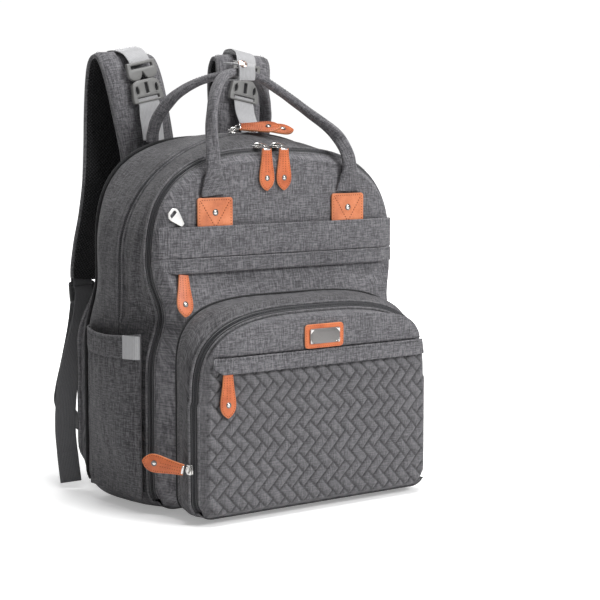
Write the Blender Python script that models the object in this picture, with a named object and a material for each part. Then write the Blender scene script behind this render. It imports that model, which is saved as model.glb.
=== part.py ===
"""Backpack-style diaper bag, an assembly of separate soft and hard parts.

Frame: +Z up, the front of the bag faces -Y, the padded back faces +Y and X = 0 is the
symmetry plane. "Left" is -X. The origin is on the floor under the middle of the main body.
Sizes are in millimetres and are turned into metres when a mesh is made.
"""
import bpy
import bmesh
from math import cos, degrees, exp, pi, radians, sin
from mathutils import Matrix, Vector

MM = 0.001
SIDES = (("left", -1), ("right", 1))

# ---------------------------------------------------------------- driving dimensions
GAP = 0.4                    # running gap between neighbours
WALL = 2.4                   # wall of the padded fabric shells
POCKET_WALL = 2.2            # wall of the lower pocket's gusset

BODY_HALF_W = 174.0          # main body at its zip
BODY_TOP = 419.0
BODY_ARCH_Z = 280.0          # height at which the arch starts
FRONT_HALF_W = 174.0         # front section at its zip
FRONT_TOP = 403.0
FRONT_ARCH_Z = 270.0
BACK_HALF_W = 149.0          # padded back, upper part
BACK_TOP = 405.0
BACK_ARCH_Z = 300.0
POCKET_HALF_W = 166.0        # lower pocket at its zip
POCKET_TOP = 230.0

# depth stations, from the back to the front
Y_BACK = 100.0               # rear rim of the rear gusset
Y_MAIN_ZIP = 13.0
MAIN_TAPE_HALF = 4.0         # half the width of the main zip tape
RIM_Z = 205.0                # below this height the rims at the main zip come closer
RIM_RISE = 14.0              # height over which they part
RIM_LOW = 0.3                # distance from the rims to the zip's middle, lower part
Y_FRONT_ZIP = -42.3
FRONT_TAPE_HALF = 3.3
Y_FACE = -57.6               # flat of the upper front panel
FACE_BULGE = 19.4            # how far the face leans out towards the lower pocket
Y_POCKET_RIM = -114.8        # front rim of the lower pocket's gusset
Y_POCKET_ZIP = -118.2
Y_POCKET_TAPE = -121.0       # front edge of the lower pocket's zip tape
Y_QUILT = -134.0             # flat of the lower pocket's face

TAPE_INSET = 0.8             # zip tapes lie this far inside their outline
TAPE_T = 1.2
STRAP_W = 74.0
STRAP_T = 12.0
WEB_W = 25.0
WEB_T = 1.8

SHARP_ANGLE = 38             # degrees, edges above this stay sharp
CORNER_STEPS = 3             # segments in each rounded corner
CURVE_STEPS = 2              # path segments between two control points

# object origins of the hinged sections, each at the foot of its zip
FRONT_Y_COVER = Y_FRONT_ZIP - FRONT_TAPE_HALF - GAP
SECTION_HINGE = (0, Y_MAIN_ZIP, 2.0)
COVER_HINGE = (0, FRONT_Y_COVER + GAP / 2, 3.0)
POCKET_HINGE = (0, Y_POCKET_TAPE - GAP / 2, 3.0)

# ---------------------------------------------------------------- fresh scene
for old in list(bpy.data.objects):
    bpy.data.objects.remove(old, do_unlink=True)
PARTS = bpy.data.collections.new("diaper_bag")
bpy.context.scene.collection.children.link(PARTS)


# ---------------------------------------------------------------- materials
def material(name, color, roughness, metallic=0.0):
    mat = bpy.data.materials.new(name)
    mat.use_nodes = True
    mat.diffuse_color = (*color, 1.0)
    shader = mat.node_tree.nodes["Principled BSDF"]
    shader.inputs["Base Color"].default_value = (*color, 1.0)
    shader.inputs["Roughness"].default_value = roughness
    shader.inputs["Metallic"].default_value = metallic
    return mat


GREY = material("heather_fabric", color=(0.115, 0.117, 0.122), roughness=0.9)
GREY_SIDE = material("heather_fabric_side", color=(0.085, 0.087, 0.092), roughness=0.9)
QUILT = material("quilted_fabric", color=(0.095, 0.097, 0.102), roughness=0.9)
LINING = material("lining", color=(0.30, 0.31, 0.33), roughness=0.7)
AIR_MESH = material("air_mesh", color=(0.015, 0.015, 0.017), roughness=0.95)
TAPE = material("zip_tape", color=(0.02, 0.02, 0.023), roughness=0.8)
LEATHER = material("tan_leather", color=(0.68, 0.13, 0.03), roughness=0.5)
NICKEL = material("nickel", color=(0.72, 0.71, 0.69), roughness=0.25, metallic=1.0)
WEB_LIGHT = material("light_webbing", color=(0.50, 0.50, 0.51), roughness=0.8)
WEB_GREY = material("grey_webbing", color=(0.14, 0.145, 0.15), roughness=0.8)
PLASTIC = material("grey_plastic", color=(0.30, 0.30, 0.29), roughness=0.45)
BOARD = material("board", color=(0.05, 0.05, 0.055), roughness=0.7)


# ---------------------------------------------------------------- mesh builders
def add_object(name, mesh, mat, origin):
    mesh.materials.append(mat)
    obj = bpy.data.objects.new(name, mesh)
    obj.location = Vector(origin) * MM
    PARTS.objects.link(obj)


def shade(mesh):
    mesh.shade_smooth()
    mesh.set_sharp_from_angle(angle=radians(SHARP_ANGLE))


def solid(name, verts, faces, mat, origin=(0, 0, 0)):
    """Object from points in the bag's frame, with its own origin at origin."""
    mesh = bpy.data.meshes.new(name)
    mesh.from_pydata([(Vector(v) - Vector(origin)) * MM for v in verts], [], faces)
    bm = bmesh.new()
    bm.from_mesh(mesh)
    bmesh.ops.recalc_face_normals(bm, faces=bm.faces)
    bm.to_mesh(mesh)
    bm.free()
    shade(mesh)
    add_object(name, mesh, mat, origin)


def loft(name, rings, mat, origin=(0, 0, 0), loop=False, ladder=False):
    """Skin a row of rings that have equal point counts. With loop the last ring joins the first.
    With ladder the last ring, an outline that mirrors left to right, is closed with level strips."""
    count = len(rings[0])
    verts = [point for ring in rings for point in ring]
    faces = []
    for i in range(len(rings) if loop else len(rings) - 1):
        near, far = i * count, ((i + 1) % len(rings)) * count
        for j in range(count):
            k = (j + 1) % count
            faces.append((near + j, near + k, far + k, far + j))
    if not loop:
        faces.append(tuple(range(count)))
        base = (len(rings) - 1) * count
        if ladder:
            half = count // 2
            faces.append((base, base + 1, base + count - 1))
            for k in range(1, half - 1):
                faces.append((base + k, base + k + 1, base + count - k - 1, base + count - k))
            faces.append((base + half - 1, base + half, base + half + 1))
        else:
            faces.append(tuple(range(base, base + count)))
    solid(name, verts, faces, mat, origin)


def smooth(t):
    """Ease from 0 to 1, flat outside that range."""
    t = max(0.0, min(1.0, t))
    return t * t * (3 - 2 * t)


def outline(low_half, high_half, arch_z, top, power, corner, bottom=0.0, pinch=0.0, side_steps=5,
            arch_steps=8):
    """Closed outline in XZ from the bottom centre, up the right side, over the arch and back.
    The side goes from low_half to high_half between z = 180 and 260, with a waist of depth
    pinch at z = 219. The arch is a superellipse of the given power."""
    flat = low_half - corner
    corner_z = bottom + corner
    half = [(flat * t, bottom) for t in (0.0, 0.55, 1.0)]
    for k in range(1, CORNER_STEPS + 1):
        a = radians(-90 + 90 * k / CORNER_STEPS)
        half.append((flat + corner * cos(a), corner_z + corner * sin(a)))
    for k in range(1, side_steps + 1):
        z = corner_z + (arch_z - corner_z) * k / side_steps
        width = low_half + (high_half - low_half) * smooth((z - 180) / 80)
        half.append((width - pinch * exp(-((z - 219) / 31) ** 2), z))
    for k in range(1, arch_steps):
        a = radians(90 * k / arch_steps)
        half.append((high_half * cos(a) ** (2 / power),
                     arch_z + (top - arch_z) * sin(a) ** (2 / power)))
    half.append((0.0, top))
    return half + [(-x, z) for x, z in reversed(half[1:-1])]


def inset(line, distance):
    """Move every edge of a closed counterclockwise outline inwards."""
    out = []
    for i, point in enumerate(line):
        here = Vector(point)
        edge_in = (here - Vector(line[i - 1])).normalized()
        edge_out = (Vector(line[(i + 1) % len(line)]) - here).normalized()
        normal_in = Vector((-edge_in.y, edge_in.x))
        normal_out = Vector((-edge_out.y, edge_out.x))
        mitre = (normal_in + normal_out).normalized()
        # the limit keeps sharp corners from shooting inwards
        reach = distance / max(0.4, mitre.dot(normal_in))
        out.append((here.x + mitre.x * reach, here.y + mitre.y * reach))
    return out


def at_depth(line, depth):
    """Outline placed at a depth, which may be a function of height."""
    return [(x, depth(z) if callable(depth) else depth, z) for x, z in line]


def shell(name, stations, wall, origin=(0, 0, 0)):
    """Open fabric tube along Y. stations are (outline, depth), front rim last."""
    outer = [at_depth(line, depth) for line, depth in stations]
    inner = [at_depth(inset(line, wall), depth) for line, depth in reversed(stations)]
    loft(name, outer + inner, GREY_SIDE, origin, loop=True)


def panel(name, line, stations, mat, origin=(0, 0, 0), ladder=False):
    """Closed slab along Y. stations are (inset of the outline, depth)."""
    rings = [at_depth(inset(line, distance), depth) for distance, depth in stations]
    loft(name, rings, mat, origin, ladder=ladder)


def zip_tape(name, line, y0, y1, z_min, origin=(0, 0, 0)):
    """Band that follows the part of an outline above z_min, between depths y0 and y1."""
    outer, inner = inset(line, TAPE_INSET), inset(line, TAPE_INSET + TAPE_T)
    start = next(k for k, (x, z) in enumerate(line) if z > z_min and x > 0)
    rings = []
    for k in range(start, len(line)):
        if line[k][1] > z_min:
            (xo, zo), (xi, zi) = outer[k], inner[k]
            rings.append([(xo, y0, zo), (xo, y1, zo), (xi, y1, zi), (xi, y0, zi)])
    loft(name, rings, TAPE, origin)


def rounded_rect(width, height, radius):
    x, y = width / 2 - radius, height / 2 - radius
    points = []
    for cx, cy, start in ((x, y, 0), (-x, y, 90), (-x, -y, 180), (x, -y, 270)):
        for k in range(CORNER_STEPS + 1):
            a = radians(start + 90 * k / CORNER_STEPS)
            points.append((cx + radius * cos(a), cy + radius * sin(a)))
    return points


def axes(origin, x, y):
    """Frame with local X and Y along the given directions; local Z is their cross product."""
    x = Vector(x).normalized()
    z = x.cross(Vector(y)).normalized()
    frame = Matrix((x, z.cross(x), z)).transposed().to_4x4()
    frame.translation = Vector(origin)
    return frame


def upright(x, y, z):
    """Frame of a plate that faces the front: local X is X and local Y is up."""
    return axes((x, y, z), (1, 0, 0), (0, 0, 1))


def plate(name, outlines, thick, mat, frame, origin=None):
    """Flat plate from a filled 2D curve; further outlines are holes. frame places it, in mm."""
    curve = bpy.data.curves.new(name, "CURVE")
    curve.dimensions = "2D"
    curve.fill_mode = "BOTH"
    curve.extrude = thick / 2 * MM
    for points in outlines:
        spline = curve.splines.new("POLY")
        spline.points.add(len(points) - 1)
        for target, (x, y) in zip(spline.points, points):
            target.co = (x * MM, y * MM, 0, 1)
        spline.use_cyclic_u = True
    helper = bpy.data.objects.new(name + "_outline", curve)
    bpy.context.scene.collection.objects.link(helper)
    bpy.context.view_layer.update()
    depsgraph = bpy.context.evaluated_depsgraph_get()
    mesh = bpy.data.meshes.new_from_object(helper.evaluated_get(depsgraph))
    bpy.data.objects.remove(helper, do_unlink=True)

    if origin is None:
        origin = frame.translation
    placed = frame.copy()
    placed.translation = (frame.translation - Vector(origin)) * MM
    bm = bmesh.new()
    bm.from_mesh(mesh)
    bmesh.ops.remove_doubles(bm, verts=bm.verts, dist=1e-6)   # joins the caps to the sides
    bmesh.ops.transform(bm, matrix=placed, verts=bm.verts)
    bmesh.ops.recalc_face_normals(bm, faces=bm.faces)
    bm.to_mesh(mesh)
    bm.free()
    mesh.name = name
    mesh.materials.clear()
    shade(mesh)
    add_object(name, mesh, mat, origin)


def catmull(points):
    """Catmull-Rom path through control tuples of any length."""
    out = []
    last = len(points) - 1
    for i in range(last):
        corners = zip(points[max(i - 1, 0)], points[i], points[i + 1], points[min(i + 2, last)])
        corners = list(corners)
        for k in range(CURVE_STEPS):
            t = k / CURVE_STEPS
            out.append(tuple(0.5 * (2 * b + (c - a) * t + (2 * a - 5 * b + 4 * c - d) * t * t
                                    + (3 * b - a - 3 * c + d) * t ** 3)
                             for a, b, c, d in corners))
    out.append(tuple(points[-1]))
    return out


def strap_section(w, h, square):
    """Cross-section of half width w and half thickness h, square or with cut corners."""
    if square:
        return [(w, h), (-w, h), (-w, -h), (w, -h)]
    cut = min(h, w) * 0.62
    wi, hi = w - cut * 0.35, h - cut * 0.75
    return [(wi, h), (-wi, h), (-w, hi), (-w, -hi), (-wi, -h), (wi, -h), (w, -hi), (w, hi)]


def ribbon(name, path, side, mat, origin, square=False):
    """Strap along path of (x, y, z, width, thickness). side is the width direction,
    or a function of the place along the path (0 to 1) that gives it."""
    rings = []
    last = len(path) - 1
    for i, (x, y, z, width, thick) in enumerate(path):
        before, after = Vector(path[max(i - 1, 0)][:3]), Vector(path[min(i + 1, last)][:3])
        along = (after - before).normalized()
        across = Vector(side(i / last) if callable(side) else side)
        across = (across - along * across.dot(along)).normalized()
        up = across.cross(along).normalized()
        centre = Vector((x, y, z))
        rings.append([tuple(centre + across * u + up * v)
                      for u, v in strap_section(width / 2, thick / 2, square)])
    loft(name, rings, mat, origin)


def mirrored(points, sign):
    """Points with x multiplied by sign; further columns are kept."""
    return [(sign * p[0], *p[1:]) for p in points]


# ---------------------------------------------------------------- outlines
BACK_LINE = outline(178, BACK_HALF_W, BACK_ARCH_Z, BACK_TOP, 2.8, corner=36, bottom=22)
REAR_BEND_LINE = outline(177, 161, 285, 414, 2.8, corner=28, bottom=3)
REAR_MID_LINE = outline(177, BODY_HALF_W - 2, BODY_ARCH_Z + 1, BODY_TOP, 2.1, corner=20)
MAIN_ZIP_LINE = outline(176, BODY_HALF_W, BODY_ARCH_Z, BODY_TOP, 2.0, corner=20)
FRONT_MID_LINE = outline(175, 173, 276, 411, 2.4, corner=25, pinch=9)
# the rim of the front gusset and the finer outline of the tape and panel before it
FRONT_RIM_LINE, FRONT_ZIP_LINE = (
    outline(172, FRONT_HALF_W, FRONT_ARCH_Z, FRONT_TOP, 2.8, corner=30, pinch=15,
            side_steps=steps) for steps in (5, 7))
POCKET_REAR_LINE = outline(158, 158, 150, 238, 3.7, corner=22, bottom=2, side_steps=4)
POCKET_MID_LINE = outline(163, 163, 145, 236, 3.4, corner=22, bottom=1, side_steps=4)
POCKET_ZIP_LINE = outline(POCKET_HALF_W, POCKET_HALF_W - 2, 130, POCKET_TOP, 3.0, corner=24,
                          bottom=2, side_steps=4)


def face_y(z):
    """Depth of the front panel's face: flat at the slip pocket, leaning out below it."""
    return Y_FACE - FACE_BULGE * smooth((282 - z) / 77)


def rim_offset(z):
    """Distance of both gusset rims from the middle of the main zip; the tape fits between
    them above the side pockets, and below they come closer."""
    rise = MAIN_TAPE_HALF + GAP - RIM_LOW
    return RIM_LOW + rise * smooth((z - RIM_Z) / RIM_RISE)


# ---------------------------------------------------------------- rear body
def rear_gusset():
    shell("rear_gusset",
          [(BACK_LINE, Y_BACK), (REAR_BEND_LINE, 86.0), (REAR_MID_LINE, 58.0),
           (MAIN_ZIP_LINE, lambda z: Y_MAIN_ZIP + rim_offset(z))], WALL)


def back_panel():
    stations = [(5, Y_BACK + GAP), (0, 102.5), (0, 106.0), (5, 112.0), (26, 115.5)]
    panel("back_panel", BACK_LINE, stations, AIR_MESH)


def main_zip_tape():
    zip_tape("main_zip_tape", MAIN_ZIP_LINE, Y_MAIN_ZIP - MAIN_TAPE_HALF,
             Y_MAIN_ZIP + MAIN_TAPE_HALF, z_min=212)


def base_board():
    # (x, y) of the chamfered sheet
    board = [(150, 19), (156, 25), (156, 72), (150, 78),
             (-150, 78), (-156, 72), (-156, 25), (-150, 19)]
    loft("base_board", [[(x, y, z) for x, y in board] for z in (6.4, 9.0)], BOARD)


def laptop_divider():
    line = outline(138, 138, 250, 340, 3, corner=16, bottom=12, side_steps=2, arch_steps=5)
    panel("laptop_divider", line, [(3, 82.0), (0, 84.0), (0, 88.0), (3, 90.0)], LINING)


SIDE_POCKET_Y = (-37, 76)    # front and rear edges of the side pockets
SIDE_POCKET_TOP = 201
SIDE_POCKET_WALL = 1.6


def side_pocket_bow(y):
    """Sine that is 0 at the side pocket's edges and 1 in its middle."""
    front, rear = SIDE_POCKET_Y
    return sin(pi * (y - front) / (rear - front))


def side_pocket_x(y, z):
    """Outer surface of a side pocket: flat at its edges, fuller in the middle and higher up."""
    fullness = 2.0 + 11.0 * smooth((z - 10) / 90)
    return 178.6 + fullness * max(0.0, side_pocket_bow(y)) ** 0.6


def side_pocket(tag, sign):
    front, rear = SIDE_POCKET_Y
    depths = [front, -35, -28, -12, 12, 38, 60, 71, rear]
    rings = []
    for z in (14, 40, 90, 150, 176, SIDE_POCKET_TOP):
        outer, inner = [], []
        for y in depths:
            # the mouth sags towards its middle
            sag = 2.5 + 4.0 * side_pocket_bow(y) if z == SIDE_POCKET_TOP else 0.0
            x = side_pocket_x(y, z)
            outer.append((sign * x, y, z - sag))
            inner.append((sign * (x - SIDE_POCKET_WALL), y, z - sag))
        rings.append(outer + inner[::-1])
    loft("side_pocket_" + tag, rings, GREY_SIDE)


def side_tab():
    """Light tab on the front edge of the left side pocket."""
    depths = [-35, -28, -20, -12]
    loft("side_tab_left",
         [[(-side_pocket_x(y, z) - 0.5, y, z) for y in depths]
          + [(-side_pocket_x(y, z) - 1.7, y, z) for y in depths[::-1]] for z in (174, 195)],
         WEB_LIGHT)


def strap_yoke():
    plate("strap_yoke", [rounded_rect(226, 36, 6)], 2.4, GREY, upright(0, 117.3, 353))


def lower_anchor(tag, sign):
    points = mirrored([(0, 0), (26, 8), (26, 33), (0, 46)], sign)
    plate("lower_anchor_" + tag, [points], 2.2, GREY, upright(sign * 142, 117.2, 34))


# ---------------------------------------------------------------- front section
def front_gusset():
    shell("front_gusset",
          [(MAIN_ZIP_LINE, lambda z: Y_MAIN_ZIP - rim_offset(z)), (FRONT_MID_LINE, -18.0),
           (FRONT_RIM_LINE, Y_FRONT_ZIP + FRONT_TAPE_HALF + GAP)], WALL, SECTION_HINGE)


def section_divider():
    panel("section_divider", MAIN_ZIP_LINE, [(8.5, 5.6), (7.5, 4.4), (7.5, 2.8), (8.5, 1.6)],
          LINING, SECTION_HINGE)


def inner_pockets():
    """Slip pockets on the divider: one sheet with two pleats that meets it at its ends."""
    # (x, y) of the face towards the divider's front
    sheet = [(-128, 1.0), (-122, -11), (-44, -12.5), (-40, -5), (-36, -12.5),
             (36, -12.5), (40, -5), (44, -12.5), (122, -11), (128, 1.0)]
    inner = inset(sheet, 1.4)
    # the ends stay flush with the divider
    inner[0], inner[-1] = (-126.3, 1.0), (126.3, 1.0)
    loft("inner_pockets", [[(x, y, z) for x, y in sheet + inner[::-1]] for z in (22, 178)],
         LINING, SECTION_HINGE)


def front_zip_tape():
    zip_tape("front_zip_tape", FRONT_ZIP_LINE, Y_FRONT_ZIP - FRONT_TAPE_HALF,
             Y_FRONT_ZIP + FRONT_TAPE_HALF, z_min=14, origin=SECTION_HINGE)


# ---------------------------------------------------------------- front cover
def front_panel():
    edge_y = -50.0           # where the straight edge ends and the rounding starts

    def lean(share):
        """Depth between the edge and the face, as a function of height."""
        return lambda z: edge_y * (1 - share) + face_y(z) * share

    stations = [(2.5, FRONT_Y_COVER), (0.3, -47.5), (0.3, edge_y),
                (1.5, lean(0.6)), (4.5, lean(0.92)), (9.0, face_y)]
    panel("front_panel", FRONT_ZIP_LINE, stations, GREY, COVER_HINGE, ladder=True)


def band_pocket():
    """Slip pocket: an open-topped tray against the face, its cavity reaching the face."""
    top = 318
    rear_y, cavity_y, front_y = -58.8, -63.9, -65.4

    def u_line(half, corner_z, bottom, cut):
        right = [(half - cut, bottom), (half, corner_z), (half, top)]
        return [(-x, z) for x, z in reversed(right)] + right

    outer = u_line(half=163, corner_z=290, bottom=284, cut=6)
    cavity = u_line(half=160, corner_z=292, bottom=287.5, cut=5)
    verts = (at_depth(outer, rear_y) + at_depth(outer, front_y)
             + at_depth(cavity, rear_y) + at_depth(cavity, cavity_y))
    faces = []
    for j in range(5):
        faces.append((j, j + 1, j + 7, j + 6))            # outer rim
        faces.append((j + 12, j + 13, j + 19, j + 18))    # cavity wall
        faces.append((j, j + 1, j + 13, j + 12))          # rear edge against the face
    faces.append(tuple(range(6, 12)))                     # front sheet
    faces.append(tuple(range(18, 24)))                    # cavity side of the front sheet
    faces.append((0, 6, 11, 5, 17, 23, 18, 12))           # open top rim
    solid("band_pocket", verts, faces, GREY, COVER_HINGE)


def pocket_gusset():
    def rear(z):
        return face_y(z) - GAP

    def middle(z):
        return (rear(z) + Y_POCKET_RIM) / 2

    shell("pocket_gusset",
          [(POCKET_REAR_LINE, rear), (POCKET_MID_LINE, middle), (POCKET_ZIP_LINE, Y_POCKET_RIM)],
          POCKET_WALL, COVER_HINGE)


def pocket_zip_tape():
    zip_tape("pocket_zip_tape", POCKET_ZIP_LINE, Y_POCKET_TAPE, Y_POCKET_RIM - GAP,
             z_min=24, origin=COVER_HINGE)


def handle_patch(tag, sign):
    """Leather reinforcement whose lower end is tucked into the slip pocket."""
    plate("handle_patch_" + tag, [rounded_rect(47, 49, 4)], 2.6, LEATHER,
          upright(sign * 94, -59.6, 324.8))


def slot_puller():
    body = [(-9.5, 0), (9.5, 0), (8, 17), (-8, 17)]
    slot = [(-5.5, 4), (5.5, 4), (4.8, 12.5), (-4.8, 12.5)]
    plate("slot_puller", [body, slot], 1.6, NICKEL, upright(-144.5, -60.2, 319.2),
          origin=(-144.5, -60.2, 319))


# ---------------------------------------------------------------- lower pocket cover
YOKE_T = 2.0
Y_YOKE = Y_QUILT - GAP - YOKE_T / 2
BADGE_PATCH_T = 1.8
Y_BADGE_PATCH = Y_YOKE - YOKE_T / 2 - GAP - BADGE_PATCH_T / 2
BADGE_Z = 195.5


def pocket_panel():
    stations = [(2.5, Y_POCKET_TAPE - GAP), (0.2, -123.2), (0.2, -127.0), (4.0, -131.6),
                (12.0, Y_QUILT)]
    panel("pocket_panel", POCKET_ZIP_LINE, stations, QUILT, POCKET_HINGE)


def pocket_yoke():
    # (x, z)
    yoke = [(-142, 181), (142, 181), (136, 195), (122, 207), (100, 213), (60, 216.5),
            (-60, 216.5), (-100, 213), (-122, 207), (-136, 195)]
    plate("pocket_yoke", [yoke], YOKE_T, GREY, upright(0, Y_YOKE, 0), origin=POCKET_HINGE)


def badge():
    """Leather patch with a metal plate before it."""
    plate("badge_patch", [rounded_rect(54, 27, 5)], BADGE_PATCH_T, LEATHER,
          upright(0, Y_BADGE_PATCH, BADGE_Z))
    plate("badge_plate", [rounded_rect(42, 17, 2)], 1.2, NICKEL, upright(0, -139.5, BADGE_Z))


def plackets():
    """Flaps over the two hidden zips, each with its lower left corner cut away."""
    band = [(-158, 0), (158, 0), (163, -3), (163, -17),
            (-148, -17), (-158, -12), (-163, -6), (-163, -3)]
    pocket = [(-142, 0), (142, 0), (147, -3), (150, -18), (-136, -18), (-145, -11), (-147, -3)]
    plate("band_placket", [band], 1.6, GREY, upright(0, -64.2, 283.2))
    plate("pocket_placket", [pocket], 1.6, GREY, upright(0, -138.8, 180.4))


# ---------------------------------------------------------------- sliders and pulls
PULL_LEN = 48.0
PULL_W = 18.0
PULL_T = 2.2
ARC_CENTRE = Vector((0, Y_MAIN_ZIP, 201.3))   # arc that the top of the main zip follows
ARC_R = 218.3


def teardrop():
    """Pull outline: narrow neck at the top, full belly, pointed tip; it hangs along local -Y."""
    # (half width / pull width, distance from the top / pull length)
    profile = [(0.30, 0.0), (0.36, 0.10), (0.40, 0.34), (0.50, 0.62), (0.50, 0.76),
               (0.34, 0.90), (0.12, 0.985)]
    right = [(PULL_W * u, -PULL_LEN * v) for u, v in profile]
    return right + [(0.0, -PULL_LEN)] + [(-x, y) for x, y in reversed(right)]


def pull(name, hinge, along, face, start=1.2):
    """Leather pull that begins at distance start from its hinge in direction along,
    with its flat side facing face."""
    along = Vector(along).normalized()
    frame = axes(Vector(hinge) + along * start, along.cross(Vector(face)), -along)
    plate(name, [teardrop()], PULL_T, LEATHER, frame, origin=hinge)


def slider(name, size, centre, turn=0.0, origin=None):
    """Zip slider body: a bevelled block, turned by turn degrees about the depth axis."""
    origin = Vector(centre if origin is None else origin)
    bm = bmesh.new()
    bmesh.ops.create_cube(bm, size=1.0)
    bmesh.ops.scale(bm, vec=Vector(size) * MM, verts=bm.verts)
    bmesh.ops.bevel(bm, geom=bm.edges[:], offset=min(size) * 0.22 * MM, segments=1,
                    affect="EDGES")
    shift = Matrix.Translation((Vector(centre) - origin) * MM)
    bmesh.ops.transform(bm, matrix=shift @ Matrix.Rotation(radians(turn), 4, "Y"),
                        verts=bm.verts)
    mesh = bpy.data.meshes.new(name)
    bm.to_mesh(mesh)
    bm.free()
    add_object(name, mesh, NICKEL, origin)


def on_arc(x, lift):
    """Point above the main zip's arc at arc length x from its top, and its angle in degrees."""
    a = x / ARC_R
    offset = Vector((sin(a), 0, cos(a))) * (ARC_R + lift)
    return ARC_CENTRE + offset, degrees(a)


def main_slider(tag, x, along):
    centre, turn = on_arc(x, 3.2)
    slider("main_slider_" + tag, (11, 9, 4.4), centre, turn, origin=ARC_CENTRE)
    hinge = on_arc(x + 5.0, 7.6)[0] - Vector((0, 1.0, 0))
    pull("main_pull_" + tag, hinge, along, face=(-0.02, 0.0, 1.0), start=2.0)


def front_slider(tag, x):
    """Body on the tape, with a flat bail that reaches over the panel's edge to the pull."""
    # (y, z)
    profile = [(-38.6, 403.8), (-38.6, 407.0), (-39.8, 408.4), (-46.6, 408.4), (-48.0, 407.4),
               (-58.6, 406.9), (-58.6, 405.2), (-48.2, 405.2), (-47.4, 403.8)]
    plate("front_slider_" + tag, [profile], 9.5, NICKEL, axes((x, 0, 0), (0, 1, 0), (0, 0, 1)),
          origin=(x, -43.0, 406.0))
    pull("front_pull_" + tag, (x, -60.4, 404.6), along=(0, 0, -1), face=(0, -1, 0), start=1.6)


def edge_slider():
    """Slider on the left side of the lower pocket's zip."""
    slider("edge_slider", (4.0, 9, 11), (-169.0, Y_POCKET_ZIP, 60.0))
    pull("edge_pull", (-173.4, Y_POCKET_ZIP, 60.0), along=(-0.60, 0.77, 0.17),
         face=(-0.77, -0.60, 0.0), start=1.6)


def placket_sliders():
    """Sliders at the left ends of the two plackets."""
    slider("band_slider", (9, 2.6, 10.5), (-138.0, -61.6, 271.8))
    pull("band_pull", (-138.0, -62.6, 263.4), along=(-0.14, -0.31, -0.94), face=(0, -0.94, 0.31))
    slider("pocket_slider", (9, 3.0, 10.5), (-130.0, -136.1, 169.2))
    pull("pocket_pull", (-130.0, -137.0, 160.8), along=(0, 0, -1), face=(0, -1, 0))


# ---------------------------------------------------------------- carry handles
# x, y, z, width, thickness
FRONT_HANDLE = [
    (-95, -60.9, 352.2, 34, 4), (-96, -61.6, 362, 30, 5.5), (-97, -62.8, 380, 21, 8),
    (-97, -61.0, 402, 17, 9), (-94, -54, 430, 16, 9.5), (-84, -44, 458, 16, 9.5),
    (-66, -28, 477, 16, 9.5), (-44, -12, 487, 16, 9.5), (-20, -3, 490, 16, 9.5),
    (6, -3, 484, 16, 9.5), (32, -11, 468, 16, 9.5), (60, -28, 444, 17, 9.5),
    (80, -51, 421, 17, 9), (89, -63.2, 400, 17, 9), (93.5, -65, 380, 21, 8),
    (95, -61.6, 362, 30, 5.5), (95, -60.9, 352.2, 34, 4)]
REAR_HANDLE = [
    (-80, 92.5, 409, 18, 7), (-80, 90, 422, 17, 9), (-77, 82, 440, 16, 9.5),
    (-66, 66, 462, 16, 9.5), (-48, 46, 478, 16, 9.5), (-24, 27, 487, 16, 9.5),
    (0, 20.5, 489, 16, 9.5), (24, 27, 484, 16, 9.5), (48, 46, 470, 16, 9.5),
    (66, 66, 450, 16, 9.5), (77, 82, 430, 17, 9), (80, 91, 414, 18, 8),
    (80, 92.5, 409, 18, 7)]


def handle_side(t):
    """Width direction of a rolled handle: sideways at its feet, along Y at the crown."""
    foot = smooth((abs(2 * t - 1) - 0.35) / 0.45)
    return (foot, -(1 - foot) - 0.02, 0.0)


def carry_handles():
    ribbon("front_handle", catmull(FRONT_HANDLE), handle_side, GREY, (0, -60.9, 351.8))
    ribbon("rear_handle", catmull(REAR_HANDLE), handle_side, GREY, (0, 92.5, 408))


def handle_wrap():
    """Cuff on the front handle, open towards the rear handle so that either can leave it."""
    # (y, z)
    profile = [(-18.0, 480.6), (-18.0, 498.6), (8.0, 500.6), (16.0, 500.9), (16.0, 499.5),
               (8.0, 499.0), (-16.4, 497.2), (-16.4, 482.2), (7.0, 481.8), (7.0, 480.2)]
    loft("handle_wrap", [[(x, y, z) for y, z in profile] for x in (-31.0, -9.0)],
         WEB_LIGHT, (0, -3, 490))


# ---------------------------------------------------------------- shoulder straps
# right strap, from the yoke over the crown and down: x, y, z, width, thickness
STRAP_PATH = [
    (65, 126.5, 374, 70, 9), (66, 126.8, 400, 73, 11), (72, 129, 438, 75, STRAP_T),
    (79, 133, 478, 76, STRAP_T), (84, 140, 502, 76, STRAP_T), (86, 150.5, 510, 76, STRAP_T),
    (87, 161, 502, 76, STRAP_T), (88, 166.5, 480, 75, STRAP_T),
    (90, 168, 440, STRAP_W, STRAP_T), (92, 167.5, 400, 73, STRAP_T),
    (95, 169, 360, 70, STRAP_T), (100, 176, 320, 64, STRAP_T), (106, 188, 285, 54, 11),
    (111, 199, 256, 40, 9), (113, 203, 240, 32, 7)]
# right webbing, one strip: slack run from the anchor, up behind the lock, round its middle bar
# and down as a free tail: x, y, z
STRAP_WEBBING = [
    (138, 121.4, 58), (140, 134, 60), (141, 160, 65), (141, 190, 73), (140, 209, 86),
    (136, 214, 104), (128, 212, 140), (120, 210, 180), (115.5, 209.6, 212),
    (114.5, 209.4, 225), (114.3, 207.2, 229.8), (114.2, 204.5, 230.4), (114.3, 201.8, 229.8),
    (114.5, 199.6, 225), (115.5, 199.4, 212), (121, 197, 185), (136, 189, 148),
    (153, 176, 108), (165, 160, 68), (170, 146, 34), (171, 137, 3.0)]


def strap_origin(sign):
    return (sign * 65, 126.5, 373)


def shoulder_strap(tag, sign):
    ribbon("shoulder_strap_" + tag, catmull(mirrored(STRAP_PATH, sign)), (1, 0, 0), GREY,
           strap_origin(sign))


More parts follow.
